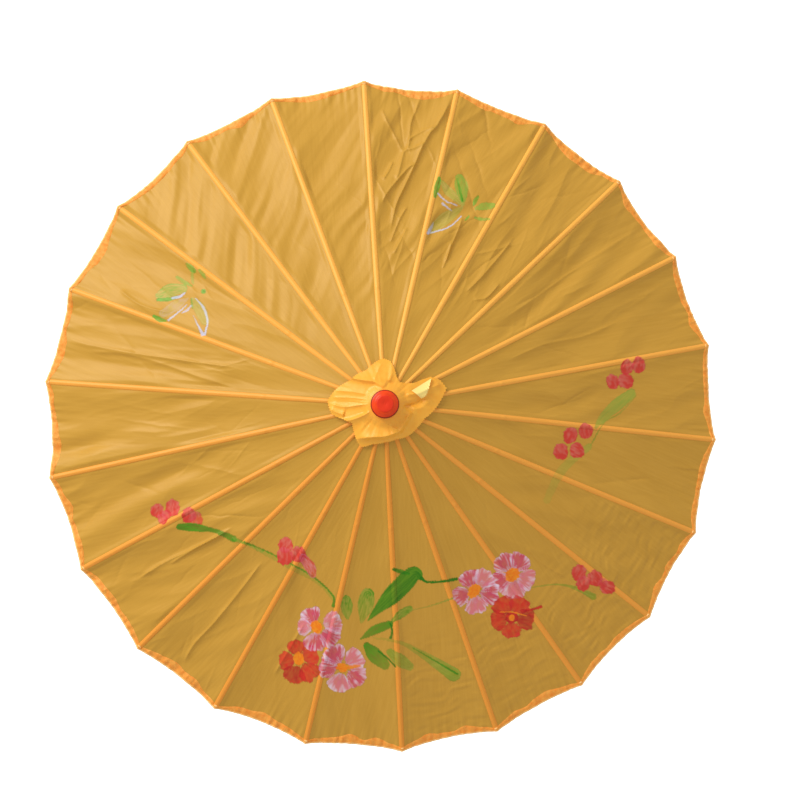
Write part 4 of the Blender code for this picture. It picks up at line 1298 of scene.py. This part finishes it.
# ---------------------------------------------------------------- turned pieces, pins and knots
def make_finial():
    """The red cap: a sloped rim, a step, a flat disc and a small dimple in its middle."""
    base, top, radius = FINIAL_LOW.z, FINIAL_HIGH.z, FINIAL_HIGH.x
    height = top - base
    disc = 0.59 * radius
    shoulder = top - 4.6 * MM
    edge = [(0, base + 0.2 * MM), (0.80 * radius, base + 0.2 * MM), (0.95 * radius, base + 0.06 * height)]
    edge += [(radius, base + 0.20 * height), (radius, shoulder - 2.2 * MM)]
    slope = []
    for k in range(5):  # the rounded outer edge
        angle = math.radians(22 * k)
        slope.append((radius - 1.8 * MM * (1 - math.cos(angle)), shoulder - 1.8 * MM * (1 - math.sin(angle))))
    slope += [(0.5 * (disc + radius), top - 2.6 * MM), (disc + 1.5 * MM, top - 1.15 * MM)]
    slope += [(disc + 0.4 * MM, top - 0.95 * MM)]
    middle = [
        (disc, top - 0.35 * MM),
        (disc - 0.5 * MM, top - 0.08 * MM),
        (disc - 1.2 * MM, top),
        (2.4 * MM, top - 0.15 * MM),
        (1.6 * MM, top - 0.5 * MM),
        (0.9 * MM, top - 0.55 * MM),
        (0.4 * MM, top - 0.35 * MM),
        (0, top - 0.30 * MM),
    ]
    profile = [*edge, *slope, *middle]
    # slot 2 gives the four faces of the rounded shoulder the dark red of painted shade
    slots = [0] * (len(edge) - 1) + [2] * 4 + [0] * (len(slope) - 3) + [1] * (len(middle) - 1)
    cap = lathe("finial", profile, (RED_LACQUER, RED_DISC, RED_SHADED_EDGE), slots, 96)
    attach(cap, "root")
    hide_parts("finial_cap")
    return cap


KNOT_RADII = (1.2 * MM, 2.2 * MM, 0.8 * MM)


def make_knots():
    """The stitches that tie the hem to each rib's end, and the pin of each stretcher."""
    for rib in range(RIB_COUNT):
        out, side, up = rib_axes(rib)
        along = (out * math.cos(SLOPE) - Vector((0, 0, math.sin(SLOPE)))).normalized()
        place = out * (RIM - 3.2 * MM) + Vector((0, 0, rib_crest(RIM - 3.2 * MM) + BAND_CREST))
        knot = ball(f"hem_knot_{rib + 1:02d}", place, (along, side, up), KNOT_RADII, SEWING_THREAD)
        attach(knot, f"rib_{rib + 1:02d}")
        joint = Vector(JOINTS[f"stretcher_fold_{rib + 1:02d}"]["pos_m"])
        pin = rod(f"rib_pin_{rib + 1:02d}", joint, side, 0.5 * MM, 6.4 * MM, TIE_WIRE)
        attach(pin, f"rib_{rib + 1:02d}")


def ball(name, place, axes, radii, material, rings=8, segments=14):
    """A rounded lump with its own three axes and radii."""
    points = []
    for i in range(1, rings):
        for j in range(segments):
            a, b = math.pi * i / rings, 2 * math.pi * j / segments
            unit = (math.sin(a) * math.cos(b), math.sin(a) * math.sin(b), math.cos(a))
            points.append(place + sum((axis * (v * r) for axis, v, r in zip(axes, unit, radii)), Vector()))
    top, bottom = len(points), len(points) + 1
    points += [place + axes[2] * radii[2], place - axes[2] * radii[2]]
    faces = quads(rings - 1, segments, closed=True)
    last = (rings - 2) * segments
    for j in range(segments):
        i = (j + 1) % segments
        faces.append((top, j, i))
        faces.append((bottom, last + i, last + j))
    mesh = bpy.data.meshes.new(name)
    mesh.from_pydata([tuple(p) for p in points], [], faces)
    mesh.materials.append(material)
    mesh.shade_smooth()
    return new_object(name, mesh)


def rod(name, place, axis, radius, length, material):
    """A short pin with rounded ends."""
    half = length / 2
    end = [(radius, half - 0.3 * radius), (0.7 * radius, half + 0.2 * radius), (0, half + 0.3 * radius)]
    profile = [(r, -height) for r, height in reversed(end)] + end
    turned = lathe(name, profile, (material,), [0] * 5, 12)
    turned.data.transform(axis.to_track_quat("Z", "Y").to_matrix().to_4x4())
    turned.data.transform(Matrix.Translation(place))
    return turned


def wire_ring(name, place, radius, thick, material, body, around=66, sides=8):
    """A tie wire: a thin ring through the feet of all the stretchers."""
    turn = np.linspace(0, 2 * np.pi, around, endpoint=False)[:, None]
    a = np.linspace(0, 2 * np.pi, sides, endpoint=False)[None, :]
    r = radius + thick * np.cos(a)
    points = np.stack([r * np.cos(turn), r * np.sin(turn), thick * np.sin(a) + 0 * turn], axis=2) + place
    faces = []
    for j in range(around):
        i = (j + 1) % around
        for k in range(sides):
            n = (k + 1) % sides
            faces.append((j * sides + k, i * sides + k, i * sides + n, j * sides + n))
    mesh = bpy.data.meshes.new(name)
    mesh.from_pydata(points.reshape(-1, 3).tolist(), [], faces)
    mesh.materials.append(material)
    mesh.shade_smooth()
    made = new_object(name, mesh)
    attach(made, body)
    return made


CAD_FINISHES = {
    "shaft": SHAFT_WOOD,
    "top_notch": TURNED_WOOD,
    "runner": TURNED_WOOD,
    "notch_tie_wire": TIE_WIRE,
    "catch_pin": TIE_WIRE,
    "notch_peg": BAMBOO,
    "stop_peg": BAMBOO,
    "spring_catch": BAMBOO,
    "handle_grip": DARK_LACQUER,
    "handle_end_cap": RED_LACQUER,
}


def finish_cad_nodes():
    """Gives every CAD node its material: bamboo, unless it is listed."""
    for name, piece in frame["nodes"].items():
        piece.data.materials.clear()
        piece.data.materials.append(CAD_FINISHES.get(name, BAMBOO))


def make_canopy():
    """All the cloth over the ribs."""
    for rib in range(RIB_COUNT):
        strip = band(rib)
        for side in (1, -1):
            half = half_panel(rib, side)
        if rib == 0:
            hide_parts("canopy")


FLOOR_HALF, FLOOR_HEIGHT = 30.0, -0.02
SKY_STRENGTH = 0.67  # the sky's light on the parasol; the camera sees it as plain white
KEY_PLACE, KEY_SIZE, KEY_POWER = (-2.65, 2.06, 2.40), 2.4, 116


def make_stage():
    """A white floor just under the handle, an even sky and one soft light from the upper left."""
    mesh = bpy.data.meshes.new("floor")
    square = ((-1, -1), (1, -1), (1, 1), (-1, 1))
    corners = [(x * FLOOR_HALF, y * FLOOR_HALF, FLOOR_HEIGHT) for x, y in square]
    mesh.from_pydata(corners, [], [(0, 1, 2, 3)])
    floor = new_object("floor", mesh)
    material, _, _, bsdf = new_material("floor")
    bsdf.inputs["Base Color"].default_value = (0.93, 0.93, 0.93, 1)
    bsdf.inputs["Roughness"].default_value = 0.9
    bsdf.inputs["Emission Color"].default_value = (1, 1, 1, 1)
    bsdf.inputs["Emission Strength"].default_value = 1.0
    mesh.materials.append(material)
    floor.visible_diffuse = floor.visible_transmission = floor.visible_glossy = False
    world = bpy.data.worlds.new("world")
    world.use_nodes = True
    world.node_tree.nodes["Background"].inputs["Color"].default_value = (1.0, 0.99, 0.97, 1)
    nodes, links = world.node_tree.nodes, world.node_tree.links
    seen = node(nodes, "LightPath")
    strength = node(nodes, "MapRange")
    strength.inputs["To Min"].default_value = SKY_STRENGTH
    links.new(seen.outputs["Is Camera Ray"], strength.inputs["Value"])
    links.new(strength.outputs["Result"], nodes["Background"].inputs["Strength"])
    bpy.context.scene.world = world
    add_light("key", KEY_PLACE, KEY_SIZE, KEY_POWER)
    bpy.context.scene.view_settings.view_transform = "Standard"


def add_light(name, place, size, power):
    data = bpy.data.lights.new(name, "AREA")
    data.shape = "DISK"
    data.size = size
    data.energy = power
    light = bpy.data.objects.new(name, data)
    bpy.context.scene.collection.objects.link(light)
    light.location = place
    aim = Vector((0, 0, CLOTH_LOW.z)) - Vector(place)
    light.rotation_euler = aim.to_track_quat("-Z", "Y").to_euler()
    return light


make_stage()
finish_cad_nodes()
make_canopy()
crown, leaves = make_cover()
flap = make_flap()
make_finial()
make_knots()
runner_pins = (0, 0, RUNNER_PIN_HEIGHT)
wire_ring("runner_tie_wire", runner_pins, NOTCH_PIN.x, TIE_WIRE_THICK, TIE_WIRE, "runner")
